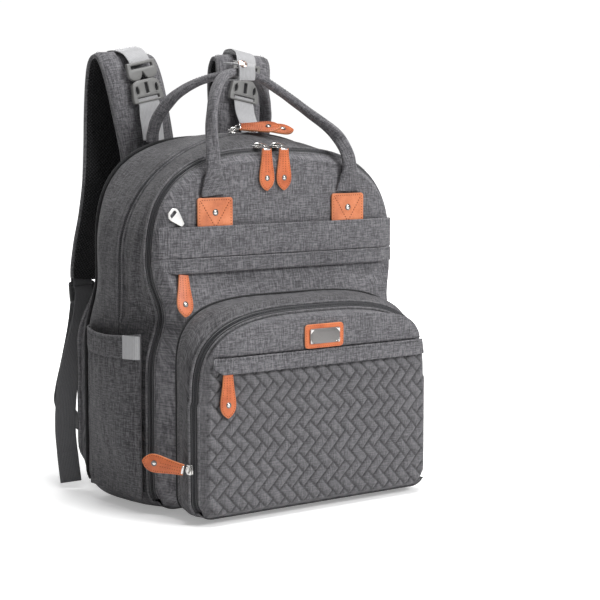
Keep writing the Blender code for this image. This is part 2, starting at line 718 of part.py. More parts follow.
def ladder_lock(tag, sign):
    """Frame with two windows at the strap's lower end."""
    upper = [(-14, 3.5), (14, 3.5), (14, 9), (-14, 9)]
    lower = [(-14, -9), (14, -9), (14, -2.5), (-14, -2.5)]
    plate("ladder_lock_" + tag, [rounded_rect(36, 26, 3), upper, lower], 3.6, PLASTIC,
          axes((sign * 114.0, 204.5, 223.8), (1, 0, 0), (0, 0.12, 1)))


def strap_webbing(tag, sign):
    last = len(STRAP_WEBBING) - 1

    def side(t):
        """Square to the bag down to point 14, then turning over the next five points."""
        return (1.0, sign * 0.62 * smooth((t * last - 14) / 5), 0.0)

    path = [(*point, WEB_W, WEB_T) for point in mirrored(STRAP_WEBBING, sign)]
    ribbon("strap_webbing_" + tag, path, side, WEB_GREY, strap_origin(sign), square=True)


# ---------------------------------------------------------------- stroller straps
# right side: x, y, z, width
CROWN_WEBBING = [(85, 154, 520.4, 30), (84.5, 143.5, 519.8, 30), (81.8, 132.5, 516.2, 30),
                 (79.0, 125.0, 509.0, 30)]
SOCKET_WEBBING = [(68.8, 115.6, 451.8, 30), (69.4, 113, 441, 29.5), (70.8, 107, 427, 28),
                  (71.5, 103.5, 414.6, 27)]


def stroller_strap(tag, sign):
    """Buckle halves before the front side of the shoulder strap's rising run, webbing over
    the strap's crown above them and webbing down to the bag below."""
    run = Vector((sign * 12, 6.5, 60)).normalized()
    across = Vector((1, 0, 0)) - run * run.x
    frame = axes((sign * 72.5, 119.8, 476), across, run)

    # socket half with an upright window in its middle and a level one near its foot
    socket = [(-21, -20), (21, -20), (21.5, -14), (18, 4), (12, 7), (-12, 7), (-18, 4),
              (-21.5, -14)]
    middle_window = [(-2.2, -10), (2.2, -10), (2.2, 3), (-2.2, 3)]
    webbing_window = [(-15, -17.2), (15, -17.2), (15, -13.6), (-15, -13.6)]
    plate("buckle_socket_" + tag, [socket, middle_window, webbing_window], 7.0, PLASTIC, frame)

    # plug half: bar frame and shoulders above the socket
    plug = [(-17, 8.6), (-5, 10.2), (0, 16), (5, 10.2), (17, 8.6), (21, 14), (20, 29),
            (-20, 29), (-21, 14)]
    plug_window = [(-15, 20.5), (15, 20.5), (15, 26), (-15, 26)]
    plate("buckle_plug_" + tag, [plug, plug_window], 5.0, PLASTIC, frame)

    for name, table in (("stroller_webbing_", CROWN_WEBBING), ("socket_webbing_", SOCKET_WEBBING)):
        points = [(*point, WEB_T) for point in mirrored(table, sign)]
        ribbon(name + tag, catmull(points), across, WEB_LIGHT, points[0][:3], square=True)


# ---------------------------------------------------------------- assembly
for build in (rear_gusset, back_panel, main_zip_tape, base_board, laptop_divider, side_tab,
              strap_yoke, front_gusset, section_divider, inner_pockets, front_zip_tape,
              front_panel, band_pocket, pocket_gusset, pocket_zip_tape, slot_puller,
              pocket_panel, pocket_yoke, badge, plackets, edge_slider, placket_sliders,
              carry_handles, handle_wrap):
    build()

for build in (side_pocket, lower_anchor, handle_patch, shoulder_strap, ladder_lock,
              strap_webbing, stroller_strap):
    for side_tag, side_sign in SIDES:
        build(side_tag, side_sign)

main_slider("left", -17.0, along=(0.80, -0.55, 0.0))
main_slider("right", 7.0, along=(0.955, -0.20, -0.08))
front_slider("left", -23.0)
front_slider("right", 1.0)
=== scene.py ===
"""Looks for the diaper bag: fabric shells, quilting, zips, leather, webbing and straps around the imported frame.
All working sizes are in millimetres; meshes are written in metres, in the row's frame."""
import bpy
import bmesh
import numpy as np
from math import sin, cos, pi, radians
from mathutils import Vector, Matrix


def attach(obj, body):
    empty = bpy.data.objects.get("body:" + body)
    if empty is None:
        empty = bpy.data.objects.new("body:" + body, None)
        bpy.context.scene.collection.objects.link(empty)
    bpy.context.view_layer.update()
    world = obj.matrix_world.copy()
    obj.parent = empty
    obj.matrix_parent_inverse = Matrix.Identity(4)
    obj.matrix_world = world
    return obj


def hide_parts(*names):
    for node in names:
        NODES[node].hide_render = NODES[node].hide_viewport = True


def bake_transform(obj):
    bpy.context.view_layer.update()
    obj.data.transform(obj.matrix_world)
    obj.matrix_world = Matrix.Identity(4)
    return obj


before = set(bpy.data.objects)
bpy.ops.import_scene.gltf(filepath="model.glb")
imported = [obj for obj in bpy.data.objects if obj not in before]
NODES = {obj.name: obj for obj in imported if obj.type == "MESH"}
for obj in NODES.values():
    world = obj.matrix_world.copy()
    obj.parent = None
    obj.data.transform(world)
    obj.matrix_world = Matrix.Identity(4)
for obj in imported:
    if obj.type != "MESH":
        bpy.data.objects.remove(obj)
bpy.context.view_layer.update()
MM = 0.001


# =================================================================== materials
def nodes_of(name):
    m = bpy.data.materials.new(name)
    m.use_nodes = True
    nt = m.node_tree
    return m, nt, nt.nodes["Principled BSDF"]


def N(nt, kind, **kw):
    n = nt.nodes.new(kind)
    for k, v in kw.items():
        if k.startswith("in_"):
            n.inputs[k[3:].replace("_", " ")].default_value = v
        else:
            setattr(n, k, v)
    return n


def L(nt, a, b):
    nt.links.new(a, b)


def mapped(nt, coord, scale, rot=(0, 0, 0)):
    mp = N(nt, "ShaderNodeMapping")
    mp.inputs["Scale"].default_value = scale
    mp.inputs["Rotation"].default_value = rot
    L(nt, coord, mp.inputs["Vector"])
    return mp.outputs["Vector"]


def mathn(nt, op, a, b=None, clamp=False):
    n = N(nt, "ShaderNodeMath", operation=op, use_clamp=clamp)
    for i, v in enumerate((a, b)):
        if v is None:
            continue
        if hasattr(v, "is_output"):
            L(nt, v, n.inputs[i])
        else:
            n.inputs[i].default_value = v
    return n.outputs[0]


def noise(nt, vec, scale=1.0, detail=2.0, rough=0.5):
    n = N(nt, "ShaderNodeTexNoise", noise_dimensions="3D")
    n.inputs["Scale"].default_value = scale
    n.inputs["Detail"].default_value = detail
    n.inputs["Roughness"].default_value = rough
    L(nt, vec, n.inputs["Vector"])
    return n.outputs["Fac"]


def ramp(nt, fac, stops):
    r = N(nt, "ShaderNodeValToRGB")
    el = r.color_ramp.elements
    el[0].position, el[0].color = stops[0][0], (*stops[0][1], 1)
    el[1].position, el[1].color = stops[-1][0], (*stops[-1][1], 1)
    for p, c in stops[1:-1]:
        e = el.new(p)
        e.color = (*c, 1)
    L(nt, fac, r.inputs["Fac"])
    return r.outputs["Color"]


def bump(nt, bsdf, height, strength=0.5, dist=0.001):
    b = N(nt, "ShaderNodeBump")
    b.inputs["Strength"].default_value = strength
    b.inputs["Distance"].default_value = dist
    L(nt, height, b.inputs["Height"])
    L(nt, b.outputs["Normal"], bsdf.inputs["Normal"])
    return b


def heather(name, dark, mid, light, weave=0.0011, pit=0.0):
    """Melange plain weave: thick and thin yarns of several greys, running both ways."""
    m, nt, p = nodes_of(name)
    uv = N(nt, "ShaderNodeTexCoord").outputs["UV"]
    h = noise(nt, mapped(nt, uv, (85, 720, 1)), 1.0, 2.0, 0.6)
    v = noise(nt, mapped(nt, uv, (680, 75, 1)), 1.0, 2.0, 0.6)
    h2 = noise(nt, mapped(nt, uv, (260, 1500, 1)), 1.0, 1.0)
    v2 = noise(nt, mapped(nt, uv, (1500, 260, 1)), 1.0, 1.0)
    big = noise(nt, mapped(nt, uv, (14, 14, 1)), 1.0, 3.0, 0.6)
    a = mathn(nt, "ADD", h, v)
    b = mathn(nt, "ADD", h2, v2)
    s = mathn(nt, "ADD", mathn(nt, "MULTIPLY", a, 0.34), mathn(nt, "MULTIPLY", b, 0.16))
    s = mathn(nt, "ADD", s, mathn(nt, "MULTIPLY", mathn(nt, "SUBTRACT", big, 0.5), 0.10))
    col = ramp(nt, s, [(0.42, dark), (0.50, mid), (0.58, light)])
    if pit:
        # painted shade: the colour is darkened by a mesh attribute where the quilting seams sink in, standing in for
        # the shade in the grooves
        at = N(nt, "ShaderNodeAttribute", attribute_name="pit")
        mx = N(nt, "ShaderNodeMix", data_type="RGBA", blend_type="MULTIPLY")
        mx.inputs[0].default_value = 1.0
        L(nt, col, mx.inputs[6])
        k = mathn(nt, "SUBTRACT", 1.0, mathn(nt, "MULTIPLY", at.outputs["Fac"], pit))
        cb = N(nt, "ShaderNodeCombineColor")
        for q in range(3):
            L(nt, k, cb.inputs[q])
        L(nt, cb.outputs[0], mx.inputs[7])
        col = mx.outputs[2]
    L(nt, col, p.inputs["Base Color"])
    p.inputs["Roughness"].default_value = 0.92
    p.inputs["Specular IOR Level"].default_value = 0.25
    p.inputs["Sheen Weight"].default_value = 0.12
    p.inputs["Sheen Roughness"].default_value = 0.6
    w = N(nt, "ShaderNodeTexWave", wave_type="BANDS", bands_direction="X")
    w.inputs["Scale"].default_value = 0.314 / weave
    w2 = N(nt, "ShaderNodeTexWave", wave_type="BANDS", bands_direction="Y")
    w2.inputs["Scale"].default_value = 0.314 / weave
    L(nt, uv, w.inputs["Vector"])
    L(nt, uv, w2.inputs["Vector"])
    hh = mathn(nt, "MULTIPLY", w.outputs["Fac"], w2.outputs["Fac"])
    hh = mathn(nt, "ADD", mathn(nt, "MULTIPLY", hh, 0.5), s)
    bump(nt, p, hh, 0.55, 0.0006)
    return m


def cloth_plain(name, base, rough=0.8, contrast=0.12, weave=0.0008, sheen=0.1, spec=0.3):
    m, nt, p = nodes_of(name)
    uv = N(nt, "ShaderNodeTexCoord").outputs["UV"]
    n1 = noise(nt, mapped(nt, uv, (600, 90, 1)), 1.0, 2.0)
    n2 = noise(nt, mapped(nt, uv, (90, 600, 1)), 1.0, 2.0)
    s = mathn(nt, "MULTIPLY", mathn(nt, "ADD", n1, n2), 0.5)
    lo = tuple(c * (1 - contrast) for c in base)
    hi = tuple(c * (1 + contrast) for c in base)
    L(nt, ramp(nt, s, [(0.35, lo), (0.65, hi)]), p.inputs["Base Color"])
    p.inputs["Roughness"].default_value = rough
    p.inputs["Sheen Weight"].default_value = sheen
    p.inputs["Specular IOR Level"].default_value = spec
    w = N(nt, "ShaderNodeTexWave", wave_type="BANDS", bands_direction="DIAGONAL")
    w.inputs["Scale"].default_value = 0.314 / weave
    L(nt, uv, w.inputs["Vector"])
    bump(nt, p, mathn(nt, "ADD", mathn(nt, "MULTIPLY", w.outputs["Fac"], 0.5), s), 0.35, 0.0004)
    return m


def webbing(name, base, rough=0.7):
    """Flat woven tape: ribs along its length, a fine chevron across."""
    m, nt, p = nodes_of(name)
    uv = N(nt, "ShaderNodeTexCoord").outputs["UV"]
    rib = N(nt, "ShaderNodeTexWave", wave_type="BANDS", bands_direction="X")
    rib.inputs["Scale"].default_value = 0.314 / 0.0019
    L(nt, uv, rib.inputs["Vector"])
    cross = N(nt, "ShaderNodeTexWave", wave_type="BANDS", bands_direction="Y", wave_profile="SAW")
    cross.inputs["Scale"].default_value = 0.314 / 0.0022
    L(nt, mapped(nt, uv, (1, 1, 1), (0, 0, 0.5)), cross.inputs["Vector"])
    n1 = noise(nt, mapped(nt, uv, (900, 200, 1)), 1.0, 2.0)
    s = mathn(nt, "ADD", mathn(nt, "MULTIPLY", rib.outputs["Fac"], 0.35), mathn(nt, "MULTIPLY", n1, 0.65))
    L(nt, ramp(nt, s, [(0.2, tuple(c * 0.82 for c in base)), (0.75, tuple(min(1, c * 1.1) for c in base))]), p.inputs["Base Color"])
    p.inputs["Roughness"].default_value = rough
    p.inputs["Sheen Weight"].default_value = 0.15
    p.inputs["Specular IOR Level"].default_value = 0.35
    hh = mathn(nt, "ADD", mathn(nt, "MULTIPLY", rib.outputs["Fac"], 0.7), mathn(nt, "MULTIPLY", cross.outputs["Fac"], 0.5))
    bump(nt, p, hh, 0.6, 0.0005)
    return m


def leather_mat(name, base, edge=False):
    m, nt, p = nodes_of(name)
    co = N(nt, "ShaderNodeTexCoord").outputs["Object"]
    big = noise(nt, co, 55, 3.0, 0.6)
    fine = noise(nt, co, 900, 3.0, 0.6)
    s = mathn(nt, "ADD", mathn(nt, "MULTIPLY", big, 0.7), mathn(nt, "MULTIPLY", fine, 0.3))
    lo = tuple(c * k for c, k in zip(base, (0.72, 0.62, 0.6)))
    hi = tuple(min(1.0, c * k) for c, k in zip(base, (1.18, 1.35, 1.6)))
    L(nt, ramp(nt, s, [(0.32, lo), (0.52, base), (0.70, hi)]), p.inputs["Base Color"])
    vor = N(nt, "ShaderNodeTexVoronoi", feature="DISTANCE_TO_EDGE")
    vor.inputs["Scale"].default_value = 1100
    L(nt, co, vor.inputs["Vector"])
    grain = mathn(nt, "MINIMUM", mathn(nt, "MULTIPLY", vor.outputs["Distance"], 6.0), 1.0)
    hh = mathn(nt, "ADD", mathn(nt, "MULTIPLY", grain, 0.6), mathn(nt, "MULTIPLY", fine, 0.6))
    bump(nt, p, hh, 0.30 if not edge else 0.6, 0.0003)
    r = mathn(nt, "ADD", mathn(nt, "MULTIPLY", big, 0.2), 0.34)
    L(nt, r, p.inputs["Roughness"])
    p.inputs["Specular IOR Level"].default_value = 0.5
    p.inputs["Coat Weight"].default_value = 0.0 if edge else 0.12
    p.inputs["Coat Roughness"].default_value = 0.35
    return m


def metal(name, base, rough):
    m, nt, p = nodes_of(name)
    co = N(nt, "ShaderNodeTexCoord").outputs["Object"]
    n1 = noise(nt, mapped(nt, co, (300, 300, 2600)), 1.0, 2.0)
    L(nt, ramp(nt, n1, [(0.3, tuple(c * 0.9 for c in base)), (0.7, base)]), p.inputs["Base Color"])
    L(nt, mathn(nt, "ADD", mathn(nt, "MULTIPLY", n1, 0.14), rough - 0.07), p.inputs["Roughness"])
    p.inputs["Metallic"].default_value = 1.0
    bump(nt, p, n1, 0.08, 0.0002)
    return m


def plastic(name, base, rough=0.5):
    m, nt, p = nodes_of(name)
    co = N(nt, "ShaderNodeTexCoord").outputs["Object"]
    n1 = noise(nt, co, 2200, 3.0, 0.6)
    n2 = noise(nt, co, 60, 2.0)
    L(nt, ramp(nt, n2, [(0.3, tuple(c * 0.93 for c in base)), (0.7, tuple(min(1, c * 1.05) for c in base))]), p.inputs["Base Color"])
    L(nt, mathn(nt, "ADD", mathn(nt, "MULTIPLY", n2, 0.16), rough - 0.08), p.inputs["Roughness"])
    p.inputs["Specular IOR Level"].default_value = 0.45
    bump(nt, p, n1, 0.15, 0.0002)
    return m


def airmesh(name):
    """Black spacer mesh: open cells in a regular pattern over a dark ground."""
    m, nt, p = nodes_of(name)
    uv = N(nt, "ShaderNodeTexCoord").outputs["UV"]
    vor = N(nt, "ShaderNodeTexVoronoi", feature="F1", voronoi_dimensions="2D")
    vor.inputs["Scale"].default_value = 1.0
    vor.inputs["Randomness"].default_value = 0.0
    L(nt, mapped(nt, uv, (330, 330, 1), (0, 0, 0.785)), vor.inputs["Vector"])
    cell = mathn(nt, "MULTIPLY", vor.outputs["Distance"], 1.5, clamp=True)
    fz = noise(nt, mapped(nt, uv, (1500, 1500, 1)), 1.0, 2.0)
    s = mathn(nt, "ADD", mathn(nt, "MULTIPLY", cell, 0.75), mathn(nt, "MULTIPLY", fz, 0.25))
    L(nt, ramp(nt, s, [(0.30, (0.004, 0.004, 0.0045)), (0.62, (0.014, 0.014, 0.015)), (0.9, (0.040, 0.040, 0.043))]), p.inputs["Base Color"])
    p.inputs["Roughness"].default_value = 0.85
    p.inputs["Specular IOR Level"].default_value = 0.25
    bump(nt, p, cell, 0.9, 0.0012)
    return m


FAB = heather("mat_heather", (0.062, 0.061, 0.066), (0.122, 0.119, 0.128), (0.215, 0.210, 0.222))
# painted shade: a darker copy of the front heather for the gusset shells and side pieces, standing in for the shade on
# the bag's sides
FAB_SHADED = heather("mat_heather_side", (0.033, 0.032, 0.035), (0.074, 0.072, 0.077), (0.140, 0.137, 0.144))
FABQ = heather("mat_heather_quilt", (0.088, 0.086, 0.092), (0.132, 0.129, 0.137), (0.186, 0.182, 0.192), pit=0.60)
DARKFAB = heather("mat_seam_dark", (0.007, 0.007, 0.008), (0.012, 0.012, 0.013), (0.020, 0.020, 0.022))
PIPE = heather("mat_piping", (0.062, 0.061, 0.065), (0.108, 0.106, 0.112), (0.168, 0.164, 0.172))
LIN = cloth_plain("mat_lining", (0.33, 0.34, 0.36), 0.55, 0.08, 0.0007, 0.25, 0.4)
TAPE = cloth_plain("mat_zip_tape", (0.017, 0.017, 0.019), 0.75, 0.25, 0.0012, 0.05)
COIL = plastic("mat_coil", (0.046, 0.046, 0.050), 0.40)
LOCK = plastic("mat_dark_plastic", (0.085, 0.085, 0.088), 0.42)
WLIGHT = webbing("mat_light_webbing", (0.40, 0.40, 0.41), 0.5)
WGREY = webbing("mat_grey_webbing", (0.105, 0.105, 0.110))
AMESH = airmesh("mat_air_mesh")
LEA = leather_mat("mat_leather", (0.60, 0.145, 0.042))
LEAP = leather_mat("mat_leather_patch", (0.62, 0.190, 0.075))
LEAE = leather_mat("mat_leather_edge", (0.66, 0.24, 0.10), edge=True)
NICK = metal("mat_nickel", (0.80, 0.79, 0.77), 0.22)
WMET = metal("mat_slot_puller", (0.95, 0.94, 0.92), 0.42)
NICKD = metal("mat_rivet_ring", (0.20, 0.19, 0.18), 0.35)
PLATE = metal("mat_badge_plate", (0.27, 0.26, 0.255), 0.36)
SNAP = metal("mat_snap", (0.80, 0.66, 0.60), 0.2)
PLA = plastic("mat_grey_plastic", (0.175, 0.174, 0.170), 0.38)
BOARD = plastic("mat_board", (0.04, 0.04, 0.045), 0.7)
THREAD = cloth_plain("mat_thread_grey", (0.11, 0.11, 0.118), 0.7, 0.1, 0.0005)
THREADD = cloth_plain("mat_thread_dark", (0.035, 0.035, 0.04), 0.7, 0.1, 0.0005)
THREADB = cloth_plain("mat_thread_brown", (0.20, 0.052, 0.020), 0.7, 0.1, 0.0004, 0.0, 0.2)
THREADO = cloth_plain("mat_thread_tan", (0.30, 0.055, 0.018), 0.6, 0.1, 0.0005)
THREADL = cloth_plain("mat_thread_light", (0.27, 0.050, 0.016), 0.6, 0.1, 0.0005)


# =================================================================== mesh helpers
def make(name, V, F, mats, body=None, uv=None, midx=None, slot=None, replaces=(), sharp=None, recalc=True, smooth=True):
    """Mesh object from points in millimetres. uv is per face corner."""
    me = bpy.data.meshes.new(name)
    V = np.asarray(V, float).reshape(-1, 3) * MM
    F = [tuple(int(k) for k in f) for f in F]
    me.from_pydata(V.tolist(), [], F)
    if uv is not None:
        layer = me.uv_layers.new(name="UVMap")
        layer.data.foreach_set("uv", np.asarray(uv, np.float32).ravel())
    for m in (mats if isinstance(mats, (list, tuple)) else [mats]):
        me.materials.append(m)
    if midx is not None:
        me.polygons.foreach_set("material_index", np.asarray(midx, np.int32))
    if recalc:
        bm = bmesh.new()
        bm.from_mesh(me)
        bmesh.ops.recalc_face_normals(bm, faces=bm.faces)
        bm.to_mesh(me)
        bm.free()
    if smooth:
        me.shade_smooth()
        if sharp:
            me.set_sharp_from_angle(angle=radians(sharp))
    ob = bpy.data.objects.new(name, me)
    bpy.context.scene.collection.objects.link(ob)
    if body:
        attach(ob, body)
    if replaces:
        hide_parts(*replaces)
    return ob


def grid(P, closed_u=False, closed_v=False, U=None, W=None, off=0):
    """Faces and corner uvs of an (r, c, 3) array of points. U and W are in metres, shape (r+1 or r, c+1 or c)."""
    r, c = P.shape[:2]
    R, C = (r if closed_v else r - 1), (c if closed_u else c - 1)
    i, j = np.meshgrid(np.arange(R), np.arange(C), indexing="ij")
    i1, j1 = (i + 1) % r, (j + 1) % c
    F = np.stack([i * c + j, i * c + j1, i1 * c + j1, i1 * c + j], -1).reshape(-1, 4) + off
    if U is None:
        Q = P
        if closed_u:
            Q = np.concatenate([Q, Q[:, :1]], 1)
        if closed_v:
            Q = np.concatenate([Q, Q[:1]], 0)
        du = np.linalg.norm(np.diff(Q, axis=1), axis=2)
        dw = np.linalg.norm(np.diff(Q, axis=0), axis=2)
        U = np.concatenate([np.zeros((Q.shape[0], 1)), np.cumsum(du, 1)], 1) * MM
        U = U - U[:, U.shape[1] // 2:U.shape[1] // 2 + 1] * 0
        W = np.concatenate([np.zeros((1, Q.shape[1])), np.cumsum(dw, 0)], 0) * MM
    a, b, d, e = (i, j), (i, j + 1), (i + 1, j + 1), (i + 1, j)
    uv = np.stack([np.stack([U[k], W[k]], -1) for k in (a, b, d, e)], 2).reshape(-1, 2)
    return F, uv


class Pile:
    """Collects many small meshes into one object."""

    def __init__(self):
        self.V, self.F, self.UV, self.M, self.n = [], [], [], [], 0

    def add(self, V, F, uv=None, m=0):
        V = np.asarray(V, float).reshape(-1, 3)
        for k, f in enumerate(F):
            self.F.append(tuple(int(x) + self.n for x in f))
            self.M.append(m)
            self.UV.extend([(0.0, 0.0)] * len(f) if uv is None else [tuple(uv[q]) for q in range(k * 0, 0)] or [])
        if uv is not None:
            self.UV.extend([tuple(q) for q in np.asarray(uv)])
        self.V.append(V)
        self.n += len(V)

    def make(self, name, mats, body=None, **kw):
        return make(name, np.concatenate(self.V), self.F, mats, body, uv=self.UV, midx=self.M, **kw)


def hsh(ix, iy, iz, seed):
    h = (ix * 374761393 + iy * 668265263 + iz * 2147483647 + seed * 1274126177) & 0xFFFFFFFF
    h = ((h ^ (h >> 13)) * 1274126177) & 0xFFFFFFFF
    return ((h ^ (h >> 16)) & 0xFFFFFF) / float(0xFFFFFF)


def vn(P, size, seed=0):
    """Smooth value noise in -1..1 at points P (mm); size may differ per axis."""
    Q = np.asarray(P, float) / np.asarray(size, float)
    I = np.floor(Q).astype(np.int64)
    f = Q - I
    f = f * f * (3 - 2 * f)
    out = 0
    for dx in (0, 1):
        for dy in (0, 1):
            for dz in (0, 1):
                w = (f[..., 0] if dx else 1 - f[..., 0]) * (f[..., 1] if dy else 1 - f[..., 1]) * (f[..., 2] if dz else 1 - f[..., 2])
                out = out + w * hsh(I[..., 0] + dx, I[..., 1] + dy, I[..., 2] + dz, seed)
    return out * 2 - 1


def smooth(t):
    t = np.clip(t, 0.0, 1.0)
    return t * t * (3 - 2 * t)


def unit(v):
    v = np.asarray(v, float)
    return v / np.maximum(np.linalg.norm(v, axis=-1, keepdims=True), 1e-9)


def resample(P, n, closed=False):
    P = np.asarray(P, float)
    if closed:
        P = np.concatenate([P, P[:1]])
    d = np.concatenate([[0], np.cumsum(np.linalg.norm(np.diff(P, axis=0), axis=1))])
    t = np.linspace(0, d[-1], n + 1 if closed else n)
    out = np.stack([np.interp(t, d, P[:, k]) for k in range(P.shape[1])], 1)
    return out[:-1] if closed else out


def spline(points, per=8):
    P = np.asarray(points, float)
    out = []
    n = len(P)
    for i in range(n - 1):
        p0, p1, p2, p3 = P[max(i - 1, 0)], P[i], P[i + 1], P[min(i + 2, n - 1)]
        for k in range(per):
            t = k / per
            out.append(0.5 * (2 * p1 + (p2 - p0) * t + (2 * p0 - 5 * p1 + 4 * p2 - p3) * t * t + (3 * p1 - p0 - 3 * p2 + p3) * t ** 3))
    out.append(P[-1])
    return np.array(out)


NB, NC, NS, NA = 16, 9, 40, 62


def outline(w_low, w_up, zc, top, n, zb=0.0, rb=14.0, pinch=0.0):
    """Dense closed outline in XZ from the bottom centre, up the right side, over the arch and back."""
    half = [((w_low - rb) * t, zb) for t in np.linspace(0, 1, NB + 1)]
    for k in range(1, NC + 1):
        a = radians(-90 + 90 * k / NC)
        half.append((w_low - rb + rb * cos(a), zb + rb + rb * sin(a)))
    z0 = zb + rb
    for k in range(1, NS + 1):
        z = z0 + (zc - z0) * k / NS
        w = w_low + (w_up - w_low) * float(smooth((z - 180) / 80))
        half.append((w - pinch * np.exp(-((z - 219) / 31) ** 2), z))
    aa = np.linspace(0, pi / 2, 400)
    arch = np.stack([w_up * np.clip(np.cos(aa), 0, 1) ** (2 / n), zc + (top - zc) * np.sin(aa) ** (2 / n)], 1)
    arch[-1] = (0, top)
    arch = resample(arch, NA + 1)[1:]
    half = np.concatenate([np.array(half), arch])
    half[-1] = (0, top)
    return np.concatenate([half, half[1:-1][::-1] * (-1, 1)])


HALF = NB + NC + NS + NA + 1


def normals2(P):
    """Outward normals of a closed counter-clockwise outline."""
    t = unit(np.roll(P, -1, 0) - np.roll(P, 1, 0))
    return np.stack([t[:, 1], -t[:, 0]], 1)


def inset(P, d):
    return P - normals2(P) * d


def inset_low(P, d, z0, z1, keep=0.8):
    """Inset by d that shrinks to keep mm below z1, where no zip runs."""
    k = keep + (d - keep) * smooth((P[:, 1] - z0) / (z1 - z0))
    return P - normals2(P) * k[:, None]


def at_y(P, y):
    """(n,2) outline to (n,3) points at depth y."""
    return np.stack([P[:, 0], np.broadcast_to(y, P.shape[:1]) if not callable(y) else y(P[:, 1]), P[:, 1]], 1)


C_LINE = outline(176, 174, 280, 419, 2.0, rb=20)
MID_LINE = outline(177, 172, 281, 419, 2.1, rb=20)
B_LINE = outline(177, 161, 285, 414, 2.8, zb=3, rb=28)
A_LINE = outline(178, 149, 300, 405, 2.8, zb=22, rb=36)
D_MID = outline(175, 173, 276, 411, 2.4, rb=25, pinch=9)
D_LINE = outline(172, 174, 270, 403, 2.8, rb=30, pinch=15)
P_REAR = outline(158, 158, 150, 238, 3.7, zb=2, rb=22)
P_MID = outline(163, 163, 145, 236, 3.4, zb=1, rb=22)
P_FRONT = outline(166, 164, 130, 230, 3.0, zb=2, rb=24)


def face_y(z):
    return -57.6 - 19.4 * smooth((282 - z) / 77)


def rear_rim(z):
    return 13.3 + 4.1 * smooth((z - 205) / 14)


def front_rim(z):
    return 12.7 - 4.1 * smooth((z - 205) / 14)


def between(stations, t):
    """Outline points at each depth share t along the stations (0..1), smooth through them. Returns (len(t), n, 3)."""
    S = np.stack([at_y(o, y) for o, y in stations])
    k = len(S) - 1
    out = []
    for v in t:
        x = v * k
        i = min(int(x), k - 1)
        f = x - i
        p1, p2 = S[i], S[i + 1]
        p0 = S[i - 1] if i > 0 else 2 * p1 - p2
        p3 = S[i + 2] if i + 2 <= k else 2 * p2 - p1
        m1, m2 = (p2 - p0) / 2, (p3 - p1) / 2
        # keep depth monotone, so that sections never fold back
        h = np.array([2 * f ** 3 - 3 * f ** 2 + 1, f ** 3 - 2 * f ** 2 + f, -2 * f ** 3 + 3 * f ** 2, f ** 3 - f ** 2])
        q = h[0] * p1 + h[1] * m1 + h[2] * p2 + h[3] * m2
        q[:, 1] = p1[:, 1] * (1 - f) + p2[:, 1] * f
        out.append(q)
    return np.array(out)


def gusset(name, stations, t, wall, mats, disp=None, thin=None):
    """Closed fabric shell between the first and last station: outer skin, lining skin, and the two rims.
    Returns (vertices, faces, uv, material index). disp(P, normal) moves the skins along the outline's normal."""
    P = between(stations, t)
    r, n = P.shape[:2]
    t2 = unit(np.roll(P, -1, 1) - np.roll(P, 1, 1))
    nor = np.stack([t2[..., 2], np.zeros((r, n)), -t2[..., 0]], -1)
    nor = unit(nor)
    outer = P + nor * (disp(P)[..., None] if disp else 0)
    inner = outer - nor * wall
    A = np.concatenate([outer, inner[::-1]], 0)
    Q = np.concatenate([P, P[:, :1]], 1)
    U = np.concatenate([np.zeros((r, 1)), np.cumsum(np.linalg.norm(np.diff(Q, axis=1), axis=2), 1)], 1) * MM
    U = np.concatenate([U, U[::-1], U[:1]], 0)
    wv = np.concatenate([[0], np.cumsum(np.abs(np.diff(P[:, 0, 1])) + 0.01)]) * MM
    wv = np.concatenate([wv, wv[::-1] + 0.5, wv[:1]])
    W = np.repeat(wv[:, None], n + 1, 1)
    F, uv = grid(A, closed_u=True, closed_v=True, U=U, W=W)
    # on the sides the yarns run up the bag: u along the outline is up there, so swap nothing, the weave is the same both ways
    idx = np.repeat(np.array([0] * (r - 1) + [0] + [1] * (r - 1) + [0]), n)
    return A.reshape(-1, 3), F, uv, idx, outer, nor


def frames(path, closed=False, hint=None):
    """Tangents and two transported normals along a path."""
    P = np.asarray(path, float)
    n = len(P)
    if closed:
        T = unit(np.roll(P, -1, 0) - np.roll(P, 1, 0))
    else:
        T = unit(np.gradient(P, axis=0))
    if hint is not None:
        S = np.broadcast_to(np.asarray(hint, float), P.shape).copy()
        S = unit(S - T * (S * T).sum(1, keepdims=True))
    else:
        S = np.zeros_like(P)
        a = np.array([0, 0, 1.0]) if abs(T[0, 2]) < 0.9 else np.array([1.0, 0, 0])
        s = unit(a - T[0] * (a @ T[0]))
        for i in range(n):
            s = unit(s - T[i] * (s @ T[i]))
            S[i] = s
        if closed:
            # spread the leftover twist
            e = S[-1] - T[0] * (S[-1] @ T[0])
            e = unit(e)
            ang = np.arctan2(np.cross(S[0], e) @ T[0], S[0] @ e)
            for i in range(n):
                a = -ang * i / n
                S[i] = S[i] * cos(a) + np.cross(T[i], S[i]) * sin(a)
    return T, S, np.cross(T, S)


